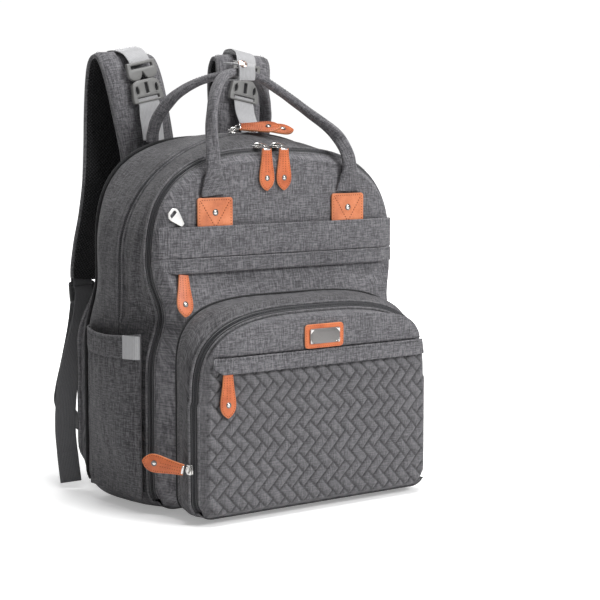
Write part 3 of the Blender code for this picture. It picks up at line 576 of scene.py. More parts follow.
def sweep(path, section, hint=None, closed=False, caps=True, scale=None):
    """Sweeps a closed section (m,2), or (n,m,2), along path. Local x is the hint direction, local y is T x hint."""
    P = np.asarray(path, float)
    T, S, B = frames(P, closed, hint)
    sec = np.asarray(section, float)
    if sec.ndim == 2:
        sec = np.broadcast_to(sec, (len(P),) + sec.shape)
    if scale is not None:
        sec = sec * np.asarray(scale, float).reshape(len(P), 1, -1)
    A = P[:, None] + S[:, None] * sec[..., :1] + B[:, None] * sec[..., 1:]
    r, m = A.shape[:2]
    # uv: u round the section, w along the path
    Q = np.concatenate([sec, sec[:, :1]], 1)
    U = np.concatenate([np.zeros((r, 1)), np.cumsum(np.linalg.norm(np.diff(Q, axis=1), axis=2), 1)], 1) * MM
    PP = np.concatenate([P, P[:1]]) if closed else P
    w = np.concatenate([[0], np.cumsum(np.linalg.norm(np.diff(PP, axis=0), axis=1))]) * MM
    if closed:
        U = np.concatenate([U, U[:1]], 0)
    W = np.repeat(w[:, None], m + 1, 1)
    F, uv = grid(A, closed_u=True, closed_v=closed, U=U, W=W)
    F = [tuple(f) for f in F]
    uv = [tuple(q) for q in uv]
    if not closed and caps:
        F.append(tuple(range(m)))
        uv += [tuple(q * MM) for q in sec[0]]
        F.append(tuple(range((r - 1) * m, r * m)))
        uv += [tuple(q * MM) for q in sec[-1]]
    return A.reshape(-1, 3), F, uv


def circle(r, n=10, ry=None):
    a = np.linspace(0, 2 * pi, n, endpoint=False)
    return np.stack([r * np.cos(a), (ry or r) * np.sin(a)], 1)


def flat_section(w, t, n=10, r=None):
    """Rounded flat section: w wide along x, t thick along y, with several points across for bending."""
    r = min(w, t) / 2 * 0.9 if r is None else r
    pts = []
    xs = np.linspace(-w / 2 + r, w / 2 - r, n)
    for x in xs:
        pts.append((x, -t / 2))
    for k in range(1, 5):
        a = radians(-90 + 180 * k / 5)
        pts.append((w / 2 - r + r * cos(a), (t / 2) * sin(a)))
    for x in xs[::-1]:
        pts.append((x, t / 2))
    for k in range(1, 5):
        a = radians(90 + 180 * k / 5)
        pts.append((-w / 2 + r + r * cos(a), (t / 2) * sin(a)))
    return np.array(pts)


def tube(name, path, r, mat, body, closed=False, n=8, **kw):
    V, F, uv = sweep(path, circle(r, n), closed=closed)
    return make(name, V, F, mat, body, uv=uv, **kw)


def stitch_into(pile, path, normal, length=2.7, gap=1.3, r=0.42, m=0, lift=0.15, closed=False):
    """Sewn stitches along a path: short raised lens-shaped threads that lie on the surface."""
    P = np.asarray(path, float)
    if closed:
        P = np.concatenate([P, P[:1]])
    d = np.concatenate([[0], np.cumsum(np.linalg.norm(np.diff(P, axis=0), axis=1))])
    nn = max(1, int(d[-1] / (length + gap)))
    s0 = np.arange(nn) * (d[-1] / nn)
    s1 = s0 + (d[-1] / nn) * length / (length + gap)
    f = lambda s: np.stack([np.interp(s, d, P[:, k]) for k in range(3)], 1)
    a, b = f(s0), f(s1)
    nor = np.asarray(normal, float)
    if nor.ndim == 2:
        if closed:
            nor = np.concatenate([nor, nor[:1]])
        nor = np.stack([np.interp((s0 + s1) / 2, d, nor[:, k]) for k in range(3)], 1)
    nor = unit(np.broadcast_to(nor, a.shape))
    t = unit(b - a)
    sd = np.cross(t, nor)
    mid = (a + b) / 2 + nor * lift
    V, F = [], []
    for k in range(len(a)):
        o = len(V)
        V += [a[k] - nor[k] * r * 0.4, b[k] - nor[k] * r * 0.4, mid[k] + sd[k] * r, mid[k] + nor[k] * r, mid[k] - sd[k] * r, mid[k] - nor[k] * r]
        for q in range(4):
            x, y = o + 2 + q, o + 2 + (q + 1) % 4
            F += [(o, x, y), (o + 1, y, x)]
    if V:
        pile.add(V, F, m=m)


def curve_plate(outlines, thick, bevel, res=2):
    """Bevelled flat plate from 2D outlines (mm, first one outer, others holes). Returns local (V, F)."""
    cu = bpy.data.curves.new("tmp", "CURVE")
    cu.dimensions = "2D"
    cu.fill_mode = "BOTH"
    cu.extrude = max(thick / 2 - bevel, 0.01) * MM
    cu.bevel_depth = bevel * MM
    cu.bevel_resolution = res
    cu.offset = -bevel * MM
    for pts in outlines:
        sp = cu.splines.new("POLY")
        sp.points.add(len(pts) - 1)
        for p, (x, y) in zip(sp.points, pts):
            p.co = (x * MM, y * MM, 0, 1)
        sp.use_cyclic_u = True
    ob = bpy.data.objects.new("tmp", cu)
    bpy.context.scene.collection.objects.link(ob)
    bpy.context.view_layer.update()
    me = bpy.data.meshes.new_from_object(ob.evaluated_get(bpy.context.evaluated_depsgraph_get()))
    bpy.data.objects.remove(ob, do_unlink=True)
    bm = bmesh.new()
    bm.from_mesh(me)
    bmesh.ops.remove_doubles(bm, verts=bm.verts, dist=2e-6)
    bmesh.ops.recalc_face_normals(bm, faces=bm.faces)
    V = np.array([v.co[:] for v in bm.verts]) / MM
    for i, v in enumerate(bm.verts):
        v.index = i
    F = [tuple(v.index for v in f.verts) for f in bm.faces]
    bm.free()
    bpy.data.meshes.remove(me)
    return V, F


def rounded_rect(w, h, r, seg=5, cx=0.0, cy=0.0):
    pts = []
    for x, y, a0 in ((w / 2 - r, h / 2 - r, 0), (-w / 2 + r, h / 2 - r, 90), (-w / 2 + r, -h / 2 + r, 180), (w / 2 - r, -h / 2 + r, 270)):
        for k in range(seg + 1):
            a = radians(a0 + 90 * k / seg)
            pts.append((cx + x + r * cos(a), cy + y + r * sin(a)))
    return pts


def round_poly(pts, r, seg=4):
    """Rounds every corner of a closed polygon."""
    P = [np.array(p, float) for p in pts]
    out = []
    n = len(P)
    for i in range(n):
        a, b, c = P[i - 1], P[i], P[(i + 1) % n]
        ra = min(r, np.linalg.norm(a - b) * 0.45, np.linalg.norm(c - b) * 0.45)
        p, q = b + unit(a - b) * ra, b + unit(c - b) * ra
        for k in range(seg + 1):
            t = k / seg
            out.append(tuple((1 - t) ** 2 * p + 2 * t * (1 - t) * b + t * t * q))
    return out


def axes(origin, x, y):
    x = unit(x)
    z = unit(np.cross(x, y))
    y = np.cross(z, x)
    return np.array(origin, float), np.stack([x, y, z])


def place(V, fr):
    o, R = fr
    return np.asarray(V, float) @ R + o


def ellipsoid(c, r, fr=None, n=12, m=7, half=False):
    """Dome or ball as local points, r = (rx, ry, rz)."""
    V, F = [], []
    lat = np.linspace(0 if half else -pi / 2, pi / 2, m)
    for a in lat[:-1]:
        for b in np.linspace(0, 2 * pi, n, endpoint=False):
            V.append((r[0] * cos(a) * cos(b), r[1] * cos(a) * sin(b), r[2] * sin(a)))
    V.append((0, 0, r[2]))
    for i in range(m - 2):
        for j in range(n):
            k = (j + 1) % n
            F.append((i * n + j, i * n + k, (i + 1) * n + k, (i + 1) * n + j))
    t = (m - 1) * n
    for j in range(n):
        F.append(((m - 2) * n + j, (m - 2) * n + (j + 1) % n, t))
    F.append(tuple(range(n))[::-1])
    V = np.array(V) + np.array(c)
    return (V if fr is None else place(V, fr)), F


def torus(R, r, fr, n=20, m=8, arc=2 * pi, start=0.0):
    closed = arc >= 2 * pi - 1e-6
    a = np.linspace(start, start + arc, n, endpoint=not closed)
    path = np.stack([R * np.cos(a), R * np.sin(a), np.zeros_like(a)], 1)
    V, F, uv = sweep(path, circle(r, m), hint=(0, 0, 1), closed=closed)
    return place(V, fr), F


def box_local(sx, sy, sz, b, fr, seg=2):
    """Bevelled block."""
    bm = bmesh.new()
    bmesh.ops.create_cube(bm, size=1.0)
    bmesh.ops.scale(bm, vec=(sx, sy, sz), verts=bm.verts)
    bmesh.ops.bevel(bm, geom=bm.edges[:], offset=b, segments=seg, affect="EDGES", profile=0.5)
    V = np.array([v.co[:] for v in bm.verts])
    for i, v in enumerate(bm.verts):
        v.index = i
    F = [tuple(v.index for v in f.verts) for f in bm.faces]
    bm.free()
    return place(V, fr), F


def catm(points, per):
    return spline(points, per)


# =================================================================== zips
def zip_half(name, outl, y_rim, y_mid, body, zmin, sgn, slot="zip_tape", depth=1.4, replaces=(), phase=0.0, tilt=0.0, rim_mat=None, rim_r=1.5, rim_up=0.5, rim_name=None):
    """One half of a zip: woven tape from the fabric's rim to the middle, its row of coil teeth, and the piping along the rim.
    sgn is +1 if the rim lies at larger y than the middle. tilt turns the band towards the front round the outline."""
    base = inset(outl, depth)
    keep = np.where((base[:, 1] > zmin))[0]
    start = next(k for k in keep if base[k, 0] > 0)
    seq = np.arange(start, start + len(keep))
    both = np.concatenate([base[seq], normals2(outl)[seq]], 1)
    both = resample(both, len(seq) * 2)
    path, nor = both[:, :2], unit(both[:, 2:])
    n = len(path)
    nr = np.stack([nor[:, 0], np.zeros(n), nor[:, 1]], 1)
    ey = np.array([0.0, 1.0, 0.0])
    cr = ey * cos(tilt) + nr * sin(tilt)
    nn = nr * cos(tilt) - ey * sin(tilt)
    ctr = np.stack([path[:, 0], np.full(n, float(y_mid)), path[:, 1]], 1)
    ur = (y_rim(path[:, 1]) if callable(y_rim) else np.full(n, float(y_rim))) - y_mid
    ur = ur / cos(tilt)
    pile = Pile()
    cols = [ctr + cr * (ur + sgn * 1.4)[:, None], ctr + cr * (ur * 0.5)[:, None] + nn * 0.2, ctr + cr * (sgn * 0.2)]
    A = np.stack(cols + [q - nn * 0.9 for q in cols[::-1]], 1)
    U = np.concatenate([np.zeros((n, 1)), np.cumsum(np.linalg.norm(np.diff(np.concatenate([A, A[:, :1]], 1), axis=1), axis=2), 1)], 1) * MM
    w = np.concatenate([[0], np.cumsum(np.linalg.norm(np.diff(path, axis=0), axis=1))])
    W = np.repeat(w[:, None] * MM, 7, 1)
    F, uv = grid(A, closed_u=True, U=U, W=W)
    F = [tuple(f) for f in F] + [tuple(range(6)), tuple(range((n - 1) * 6, n * 6))]
    uv = list(uv) + [(0, 0)] * 12
    pile.add(A.reshape(-1, 3), F, uv, 0)
    V, Fc, uvc = sweep(ctr + cr * (sgn * 2.1) + nn * 0.5, circle(1.0, 6))
    pile.add(V, Fc, uvc, 1)
    s = (np.arange(int(w[-1] / 2.4)) + 0.25 + phase) * 2.4
    s = s[s < w[-1] - 0.5]
    at = lambda Q: np.stack([np.interp(s, w, Q[:, k]) for k in range(3)], 1)
    c, cc, n_ = at(ctr), unit(at(cr)), unit(at(nn))
    tang = np.cross(cc, n_)
    V, F = [], []
    for k in range(len(s)):
        o = len(V)
        for yy, ww, hh in ((2.7, 0.45, 0.5), (1.2, 0.55, 0.95), (-0.7, 0.62, 0.85)):
            b = c[k] + cc[k] * (sgn * yy) + n_[k] * 0.7
            V += [b + tang[k] * ww + n_[k] * hh * 0.2, b + n_[k] * hh, b - tang[k] * ww + n_[k] * hh * 0.2, b - n_[k] * hh * 0.6]
        for q in range(2):
            for e in range(4):
                F.append((o + q * 4 + e, o + q * 4 + (e + 1) % 4, o + (q + 1) * 4 + (e + 1) % 4, o + (q + 1) * 4 + e))
        F += [(o, o + 1, o + 2, o + 3), (o + 8, o + 9, o + 10, o + 11)]
    pile.add(V, F, m=1)
    if rim_mat is not None:
        V, F, uv = sweep(ctr + cr * (ur + sgn * 0.4)[:, None] + nn * rim_up, circle(rim_r, 8))
        make(rim_name, V, F, rim_mat, body, uv=uv, slot="side_fabric")
    return pile.make(name, [TAPE, COIL], body, slot=slot, replaces=replaces)


def rim_tube(name, outl, y, r, mat, body, dep=0.0, zmin=-1, slot="heather_fabric", push=0.0):
    P = inset(outl, dep)
    yy = y(P[:, 1]) if callable(y) else np.full(len(P), float(y))
    P3 = np.stack([P[:, 0], yy, P[:, 1]], 1)
    if zmin > 0:
        keep = np.where(P[:, 1] > zmin)[0]
        start = next(k for k in keep if P[k, 0] > 0)
        P3 = P3[np.arange(start, start + len(keep))]
        V, F, uv = sweep(P3, circle(r, 8))
    else:
        V, F, uv = sweep(P3, circle(r, 8), closed=True)
    return make(name, V, F, mat, body, uv=uv, slot=slot)


# =================================================================== rear body
def rear_disp(P):
    x, y, z = P[..., 0], P[..., 1], P[..., 2]
    side = smooth((np.abs(x) - 120) / 50) * smooth((z - 15) / 30)
    upper = smooth((z - 200) / 40)
    d = 0.9 * vn(P, (60, 34, 60), 3) + 0.45 * vn(P, (22, 14, 30), 4)
    d += side * upper * (0.9 * vn(P, (400, 26, 90), 6))
    crown = smooth((z - 360) / 40)
    d -= crown * 1.2 * np.exp(-((y - 50) / 20) ** 2) * (0.5 + 0.5 * vn(P, (50, 100, 100), 8))
    d += side * upper * (1.2 * np.exp(-(((y - 62) + (z - 330) * 0.10) / 9.0) ** 2) * smooth((z - 230) / 60) - 1.2 * np.exp(-(((y - 40) + (z - 300) * 0.12) / 8.0) ** 2) * smooth((z - 215) / 50))
    d += crown * 1.0 * vn(P, (26, 40, 200), 9) * np.exp(-((y - 30) / 24) ** 2)
    d -= 2.0 * np.exp(-((y - 86) / 3.0) ** 2)                       # seam pulled in
    fade = smooth((y - 14) / 6) * smooth((99.5 - y) / 5)
    d = d * fade
    zr = smooth((z - 206) / 6)
    d -= zr * 1.7 * np.exp(-((y - rear_rim(z) - 3.0) / 1.5) ** 2)
    d -= 1.5 * np.exp(-((y - 96.6) / 1.5) ** 2) * smooth((z - 24) / 6)
    return np.where(z < 12, np.minimum(d, 0.0) * 0.3, d)


t_rear = np.concatenate([np.linspace(0, 0.333, 9)[:-1], np.linspace(0.333, 0.5, 3)[:-1], np.linspace(0.5, 0.667, 8)[:-1], np.linspace(0.667, 1, 14)])
V, F, uv, mi, R_OUT, R_NOR = gusset("rear", [(A_LINE, 100.0), (B_LINE, 86.0), (MID_LINE, 58.0), (C_LINE, rear_rim)], t_rear, 2.4, None, rear_disp)
make("rear_shell", V, F, [FAB_SHADED, LIN], "rear_body", uv=uv, midx=mi, slot="side_fabric", replaces=("rear_gusset",))
rim_tube("rear_seam_piping", B_LINE, 86.0, 2.1, DARKFAB, "rear_body", dep=-0.1, zmin=14, slot="zip_tape")
rim_tube("rear_edge_piping", A_LINE, 100.6, 2.3, PIPE, "rear_body", dep=0.4)
rim_tube("main_zip_rear_edge", C_LINE, lambda z: rear_rim(z) + 0.1, 1.5, PIPE, "rear_body", dep=0.3, zmin=206, slot="side_fabric")
zip_half("main_zip_rear", C_LINE, lambda z: rear_rim(z), 13.0, "rear_body", 206, 1, replaces=("main_zip_tape",), phase=0.5)

# back panel: padded mesh with sewn channels, swollen by cloth pressure
def back_grid():
    rows = []
    P = A_LINE
    idx = np.arange(NB, HALF)          # right side, from the corner's start up
    right = P[idx]
    right = resample(right, 74)
    s = np.linspace(-1, 1, 62)
    X = right[:, :1] * s[None]
    Z = np.repeat(right[:, 1:], len(s), 1)
    return X, Z


def edge_dist(X, Z, P, chunk=4000):
    """Distance of points to a closed outline."""
    A, B = P, np.roll(P, -1, 0)
    AB = B - A
    L2 = (AB ** 2).sum(1)
    Q = np.stack([X.ravel(), Z.ravel()], 1)
    out = np.empty(len(Q))
    for i in range(0, len(Q), chunk):
        q = Q[i:i + chunk, None] - A[None]
        t = np.clip((q * AB[None]).sum(2) / np.maximum(L2, 1e-9), 0, 1)
        out[i:i + chunk] = np.sqrt(((q - AB[None] * t[..., None]) ** 2).sum(2).min(1))
    return out.reshape(X.shape)


def sheet_solid(X, Z, yf, yb, edge_fix=True):
    """Closed solid from a front sheet yf and a back sheet yb over the grid (X, Z). Returns V, F, uv, front mask."""
    r, c = X.shape
    Fr = np.stack([X, yf, Z], -1)
    Bk = np.stack([X, yb, Z], -1)
    U, W = X * MM, Z * MM
    f1, u1 = grid(Fr, U=U, W=W)
    f2, u2 = grid(Bk, U=U, W=W, off=r * c)
    f2 = f2[:, ::-1]
    u2 = u2.reshape(-1, 4, 2)[:, ::-1].reshape(-1, 2)
    ring_ = [(0, j) for j in range(c)] + [(i, c - 1) for i in range(1, r)] + [(r - 1, j) for j in range(c - 2, -1, -1)] + [(i, 0) for i in range(r - 2, 0, -1)]
    ids = np.array([i * c + j for i, j in ring_])
    nx = np.roll(ids, -1)
    f3 = np.stack([ids, ids + r * c, nx + r * c, nx], -1)
    p = np.concatenate([Fr.reshape(-1, 3), Bk.reshape(-1, 3)])
    seg = np.linalg.norm(p[nx] - p[ids], axis=1)
    s = np.concatenate([[0], np.cumsum(seg)]) * MM
    th = np.abs(p[ids, 1] - p[ids + r * c, 1]).mean() * MM
    u3 = np.stack([np.stack([s[:-1], np.zeros(len(ids))], 1), np.stack([s[:-1], np.full(len(ids), th)], 1),
                   np.stack([s[1:], np.full(len(ids), th)], 1), np.stack([s[1:], np.zeros(len(ids))], 1)], 1).reshape(-1, 2)
    F = np.concatenate([f1, f2, f3])
    uv = np.concatenate([u1, u2, u3])
    mi = np.array([0] * len(f1) + [1] * len(f2) + [0] * len(f3))
    return p, F, uv, mi


def cloth_swell(ob, frames_=20, pressure=4.0, cap=6.0, pin=None, quality=4, stiff=15.0):
    """Swells a closed mesh with cloth pressure and gravity off, keeps each point within cap mm, and leaves a plain mesh."""
    sc = bpy.context.scene
    rest = np.array([v.co[:] for v in ob.data.vertices])
    if pin is not None:
        vg = ob.vertex_groups.new(name="pin")
        for i, w in enumerate(pin):
            if w > 0.01:
                vg.add([i], float(w), "REPLACE")
    md = ob.modifiers.new("Cloth", "CLOTH")
    st = md.settings
    st.quality = quality
    st.mass = 0.3
    st.tension_stiffness = stiff
    st.compression_stiffness = stiff
    st.shear_stiffness = 5
    st.bending_stiffness = 0.5
    st.use_pressure = True
    st.uniform_pressure_force = pressure
    st.effector_weights.gravity = 0
    if pin is not None:
        st.vertex_group_mass = "pin"
    md.collision_settings.use_collision = False
    md.point_cache.frame_start, md.point_cache.frame_end = 1, frames_
    for f in range(1, frames_ + 1):
        sc.frame_set(f)
    dg = bpy.context.evaluated_depsgraph_get()
    ev = ob.evaluated_get(dg)
    co = np.array([v.co[:] for v in ev.data.vertices])
    ob.modifiers.remove(md)
    if pin is not None:
        ob.vertex_groups.clear()
    d = co - rest
    d = np.nan_to_num(d)
    ln = np.linalg.norm(d, axis=1, keepdims=True)
    lim = cap * MM
    d = d * np.minimum(1.0, lim / np.maximum(ln, 1e-9))
    ob.data.vertices.foreach_set("co", (rest + d).astype(np.float32).ravel())
    ob.data.update()
    sc.frame_set(1)
    return ob


X, Z = back_grid()
D = edge_dist(X, Z, A_LINE)
crown = 6.0 * smooth(D / 34)
chan = np.zeros_like(X)
for cx in (-46, 46):                                   # two upright channels
    chan += 5.2 * np.exp(-((X - cx) / 5.0) ** 2) * smooth((330 - Z) / 24) * smooth((Z - 60) / 22)
for cz in (118, 200, 282):                             # cross channels outside the spine
    chan += 4.4 * np.exp(-((Z - cz) / 4.4) ** 2) * smooth((np.abs(X) - 44) / 6) * smooth((D - 10) / 14)
top_flat = smooth((Z - 322) / 14)                      # flat fabric yoke area under the straps
yf = 106.3 + (crown + 2.4 * smooth(D / 10) - chan * 0.9) * (1 - top_flat) + top_flat * (1.2 * smooth(D / 10))
yf = yf + 0.25 * vn(np.stack([X, X * 0, Z], -1), (24, 1, 24), 21)
yf = np.minimum(yf, 115.2)
V, F, uv, mi = sheet_solid(X, Z, yf, np.full_like(X, 100.6))
back = make("back_pad", V, F, [AMESH, LIN], None, uv=uv, midx=mi, slot="air_mesh")
cloth_swell(back, 14, 2.5, 1.2, pin=np.concatenate([(1 - smooth((D - 3) / 8)).ravel(), np.ones(D.size)]))
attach(back, "rear_body")
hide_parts("back_panel")

# fabric yoke across the top of the back, with a box stitch
Vy, Fy = curve_plate([rounded_rect(226, 36, 6)], 2.4, 0.9)
gy = np.stack(np.meshgrid(np.linspace(-113, 113, 60), np.linspace(-18, 18, 12)), -1)
xx, zz = gy[..., 0], gy[..., 1] + 353
dd = edge_dist(xx, zz - 353, np.array(rounded_rect(226, 36, 6)))
inside = np.clip(dd, 0, 3) / 3
V, F, uv, mi = sheet_solid(xx, zz, 117.0 + 1.4 * smooth(inside) + 0.3 * vn(np.stack([xx, xx * 0, zz], -1), (18, 1, 12), 5), np.full_like(xx, 116.2))
yoke_ob = make("back_yoke", V, F, [FAB, FAB], "rear_body", uv=uv, midx=mi, slot="heather_fabric", replaces=("strap_yoke",))
st_rear = Pile()
for k in (3.0, 5.5):
    q = np.array(rounded_rect(226 - 2 * k, 36 - 2 * k, 4))
    stitch_into(st_rear, np.stack([q[:, 0], np.full(len(q), 118.5), q[:, 1] + 353], 1), (0, 1, 0), closed=True)

# lower anchors: folded triangles of fabric, cross-stitched
for tag, s in (("left", -1), ("right", 1)):
    pts = round_poly([(0, 0), (26, 8), (26, 33), (0, 46)], 3)
    Vl, Fl = curve_plate([[(x * s, y) for x, y in pts]], 2.6, 0.9)
    fr = axes((s * 142, 117.2, 34), (1, 0, 0), (0, 0, 1))
    make("anchor_" + tag, place(Vl, fr), Fl, FAB, "rear_body", slot="heather_fabric", replaces=("lower_anchor_" + tag,), uv=[(Vl[i][0] * MM, Vl[i][1] * MM) for f in Fl for i in f], sharp=50)
    for a, b in (((4, 6), (23, 30)), ((4, 38), (23, 11)), ((3, 4), (3, 41)), ((3, 4), (24, 10)), ((24, 10), (24, 31)), ((3, 41), (24, 31))):
        p = np.array([[s * (142 + a[0]), 118.6, 34 + a[1]], [s * (142 + b[0]), 118.6, 34 + b[1]]])
        stitch_into(st_rear, p, (0, 1, 0))


# side pockets: soft outer wall with a gathered cuff; they bridge the main zip low on the bag
def pocket_x(y, z):
    s = (y + 37.0) / 113.0
    full = 2.0 + 11.0 * smooth((z - 10) / 90)
    return 178.6 + full * np.maximum(0.0, np.sin(pi * np.clip(s, 0, 1))) ** 0.6


st_pocket = {}
for tag, sgn in (("left", -1), ("right", 1)):
    ys = -37 + 113 * np.concatenate([np.linspace(0, 0.05, 5)[:-1], np.linspace(0.05, 0.95, 60), np.linspace(0.95, 1, 5)[1:]])
    zs = np.concatenate([np.linspace(14, 170, 66)[:-1], np.linspace(170, 201, 22)])
    Y, Zp = np.meshgrid(ys, zs)
    s = (Y + 37) / 113
    sag = -(2.5 + 4.0 * np.sin(pi * s)) * smooth((Zp - 150) / 51)
    P = np.stack([Y * 0 + sgn * 180, Y, Zp], -1)
    xo = pocket_x(Y, Zp)
    inner_mask = smooth(np.minimum(s, 1 - s) / 0.06)
    # cuff: a band gathered by elastic, with small vertical ripples; body: soft folds falling from it
    cuff = smooth((Zp - 172.5) / 1.5)
    xo = xo + inner_mask * (cuff * (1.35 + 0.5 * np.sin(Y * 2 * pi / 7.5 + 1.5 * vn(P, (1, 20, 1), 31)) * smooth((Zp - 176) / 6))
                            - 1.1 * np.exp(-((Zp - 172.4) / 1.3) ** 2)
                            + (1 - cuff) * (1.1 * vn(P, (1, 13, 75), 33 + sgn) + 0.9 * vn(P, (1, 30, 40), 35) + 0.9 * np.sin(Y * 2 * pi / 15 + 2 * vn(P, (1, 30, 60), 38)) * smooth((Zp - 120) / 50)))
    # bellows folds at both upright edges
    xo = xo - 1.6 * np.exp(-((Y + 28) / 2.2) ** 2) * smooth((186 - Zp) / 20) - 1.6 * np.exp(-((Y - 67) / 2.2) ** 2) * smooth((186 - Zp) / 20)
    xo = np.maximum(xo, 178.9)
    xi = np.maximum(xo - 1.6, 177.4 + 0.05)
    outer = np.stack([sgn * xo, Y, Zp + sag], -1)
    inner = np.stack([sgn * xi, Y, Zp + sag], -1)
    A = np.concatenate([outer, inner[:, ::-1]], 1)
    U = np.concatenate([Y, Y[:, ::-1] + 300, Y[:, :1]], 1) * MM
    W = np.repeat(Zp[:, :1], A.shape[1] + 1, 1) * MM
    F, uv = grid(A, closed_u=True, U=U, W=W)
    F = [tuple(f) for f in F]
    uv = [tuple(q) for q in uv]
    n1, n2 = len(ys), A.shape[1]
    for row in (0, len(zs) - 1):
        for j in range(n1 - 1):
            a, b = row * n2 + j, row * n2 + j + 1
            c, d = row * n2 + (n2 - 2 - j), row * n2 + (n2 - 1 - j)
            F.append((a, b, c, d))
            uv += [(0, 0), (0.002, 0), (0.002, 0.002), (0, 0.002)]
    ob = make("side_pocket_cloth_" + tag, A.reshape(-1, 3), F, [FAB_SHADED], None, uv=uv, slot="side_fabric")
    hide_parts("side_pocket_" + tag)
    # hem binding on the mouth, and stitches below the cuff
    mouth = np.stack([sgn * (xo[-1] - 0.8), ys, (Zp + sag)[-1]], 1)
    Vm, Fm, uvm = sweep(mouth, circle(1.25, 8))
    pl = Pile()
    pl.add(Vm, Fm, uvm, 0)
    row = int(np.argmin(np.abs(zs - 173.0)))
    row2 = int(np.argmin(np.abs(zs - 197.0)))
    for rw in (row, row2):
        path = outer[rw] + np.array([sgn * 0.15, 0, 0])
        stitch_into(pl, path[3:-3], (sgn, 0, 0), m=1)
    Pb = np.stack([sgn * (xo[:, 2] + 0.3), np.full(len(zs), ys[2]), zs], 1)
    tr = pl.make("side_pocket_trim_" + tag, [PIPE, THREADD], None, slot="side_fabric")
    st_pocket[tag] = (ob, tr, outer, ys, zs)

for tag in ("left", "right"):
    for ob in st_pocket[tag][:2]:
        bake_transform(ob)

# side tab: light webbing folded over the cuff's front corner
def tab_x(y, z, e):
    return pocket_x(y, z) + e


ys = np.linspace(-37.4, -18, 10)
zs = np.linspace(171.5, 197.5, 14)
Y, Zt = np.meshgrid(ys, zs)
o = np.stack([-tab_x(Y, Zt, 3.3), Y, Zt], -1)
i_ = np.stack([-tab_x(Y, Zt, 0.9), Y, Zt], -1)
A = np.concatenate([o, i_[:, ::-1]], 1)
U = np.concatenate([Y, Y[:, ::-1] + 100, Y[:, :1]], 1) * MM
F, uv = grid(A, closed_u=True, U=U, W=np.repeat(Zt[:, :1], 21, 1) * MM)
F = [tuple(f) for f in F] + [tuple(range(20)), tuple(range(13 * 20, 14 * 20))]
uv = list(uv) + [(0, 0)] * 40
tab = make("side_tab", A.reshape(-1, 3), F, [WLIGHT], None, uv=uv, slot="light_webbing", replaces=("side_tab_left",), sharp=50)
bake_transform(tab)

# fold of fabric behind each side pocket, a fixed mesh; on the real bag it opens as the front section leans out
for tag, sgn in (("left", -1), ("right", 1)):
    zs = np.linspace(16, 206, 40)
    sec = [(18.5, 0.0), (16.0, -1.6), (13.6, -2.6), (12.4, -2.6), (10.0, -1.6), (7.5, 0.0), (7.5, -1.0), (10.0, -2.6), (12.4, -3.6), (13.6, -3.6), (16.0, -2.6), (18.5, -1.0)]
    A = np.array([[(sgn * (173.2 + e * 1.0), y, z) for y, e in sec] for z in zs])
    F, uv = grid(A, closed_u=True)
    F = [tuple(f) for f in F] + [tuple(range(12)), tuple(range(39 * 12, 40 * 12))]
    uv = list(uv) + [(0, 0)] * 24
    ob = make("gusset_fold_" + tag, A.reshape(-1, 3), F, [FAB_SHADED], None, uv=uv, slot="side_fabric")
    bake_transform(ob)
# floor seam between the two sections
xs = np.linspace(-150, 150, 40)
A = np.array([[(x, 18, 2.6), (x, 13, 1.2), (x, 8, 2.6), (x, 8, 3.6), (x, 13, 2.4), (x, 18, 3.6)] for x in xs])
F, uv = grid(A, closed_u=True)
F = [tuple(f) for f in F] + [tuple(range(6)), tuple(range(39 * 6, 40 * 6))]
ob = make("floor_seam", A.reshape(-1, 3), F, [FAB_SHADED], None, uv=list(uv) + [(0, 0)] * 12, slot="side_fabric")
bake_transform(ob)

# laptop divider: padded sheet with bound edge
def padded_sheet(name, poly, y0, y1, mats, body, puff, seed, reps, chans=()):
    half = poly[np.arange(NB, HALF)]
    right = resample(half, 60)
    s = np.linspace(-1, 1, 44)
    X, Z = right[:, :1] * s[None], np.repeat(right[:, 1:], len(s), 1)
    D = edge_dist(X, Z, poly)
    m = (y0 + y1) / 2
    h = (y1 - y0) / 2
    k = 0.35 + 0.65 * smooth(D / puff)
    w = 0.3 * vn(np.stack([X, X * 0, Z], -1), (26, 1, 26), seed)
    for cz in chans:
        k = k - 0.4 * np.exp(-((Z - cz) / 3.0) ** 2)
    V, F, uv, mi = sheet_solid(X, Z, m + h * k + w * 0.6, m - h * k + w * 0.6)
    make(name, V, F, mats, body, uv=uv, midx=mi * 0, slot="lining", replaces=reps)
    P = np.stack([poly[:, 0], np.full(len(poly), m), poly[:, 1]], 1)
    V, F, uv = sweep(P, circle(min(h, 1.9), 8), closed=True)
    make(name + "_binding", V, F, TAPE, body, uv=uv, slot="zip_tape")


padded_sheet("laptop_sleeve", outline(138, 138, 250, 340, 3, zb=12, rb=16), 83.0, 89.0, [LIN], "rear_body", 12, 51, ("laptop_divider",), (90, 170, 250))

NODES["base_board"].data.materials.clear()
NODES["base_board"].data.materials.append(BOARD)

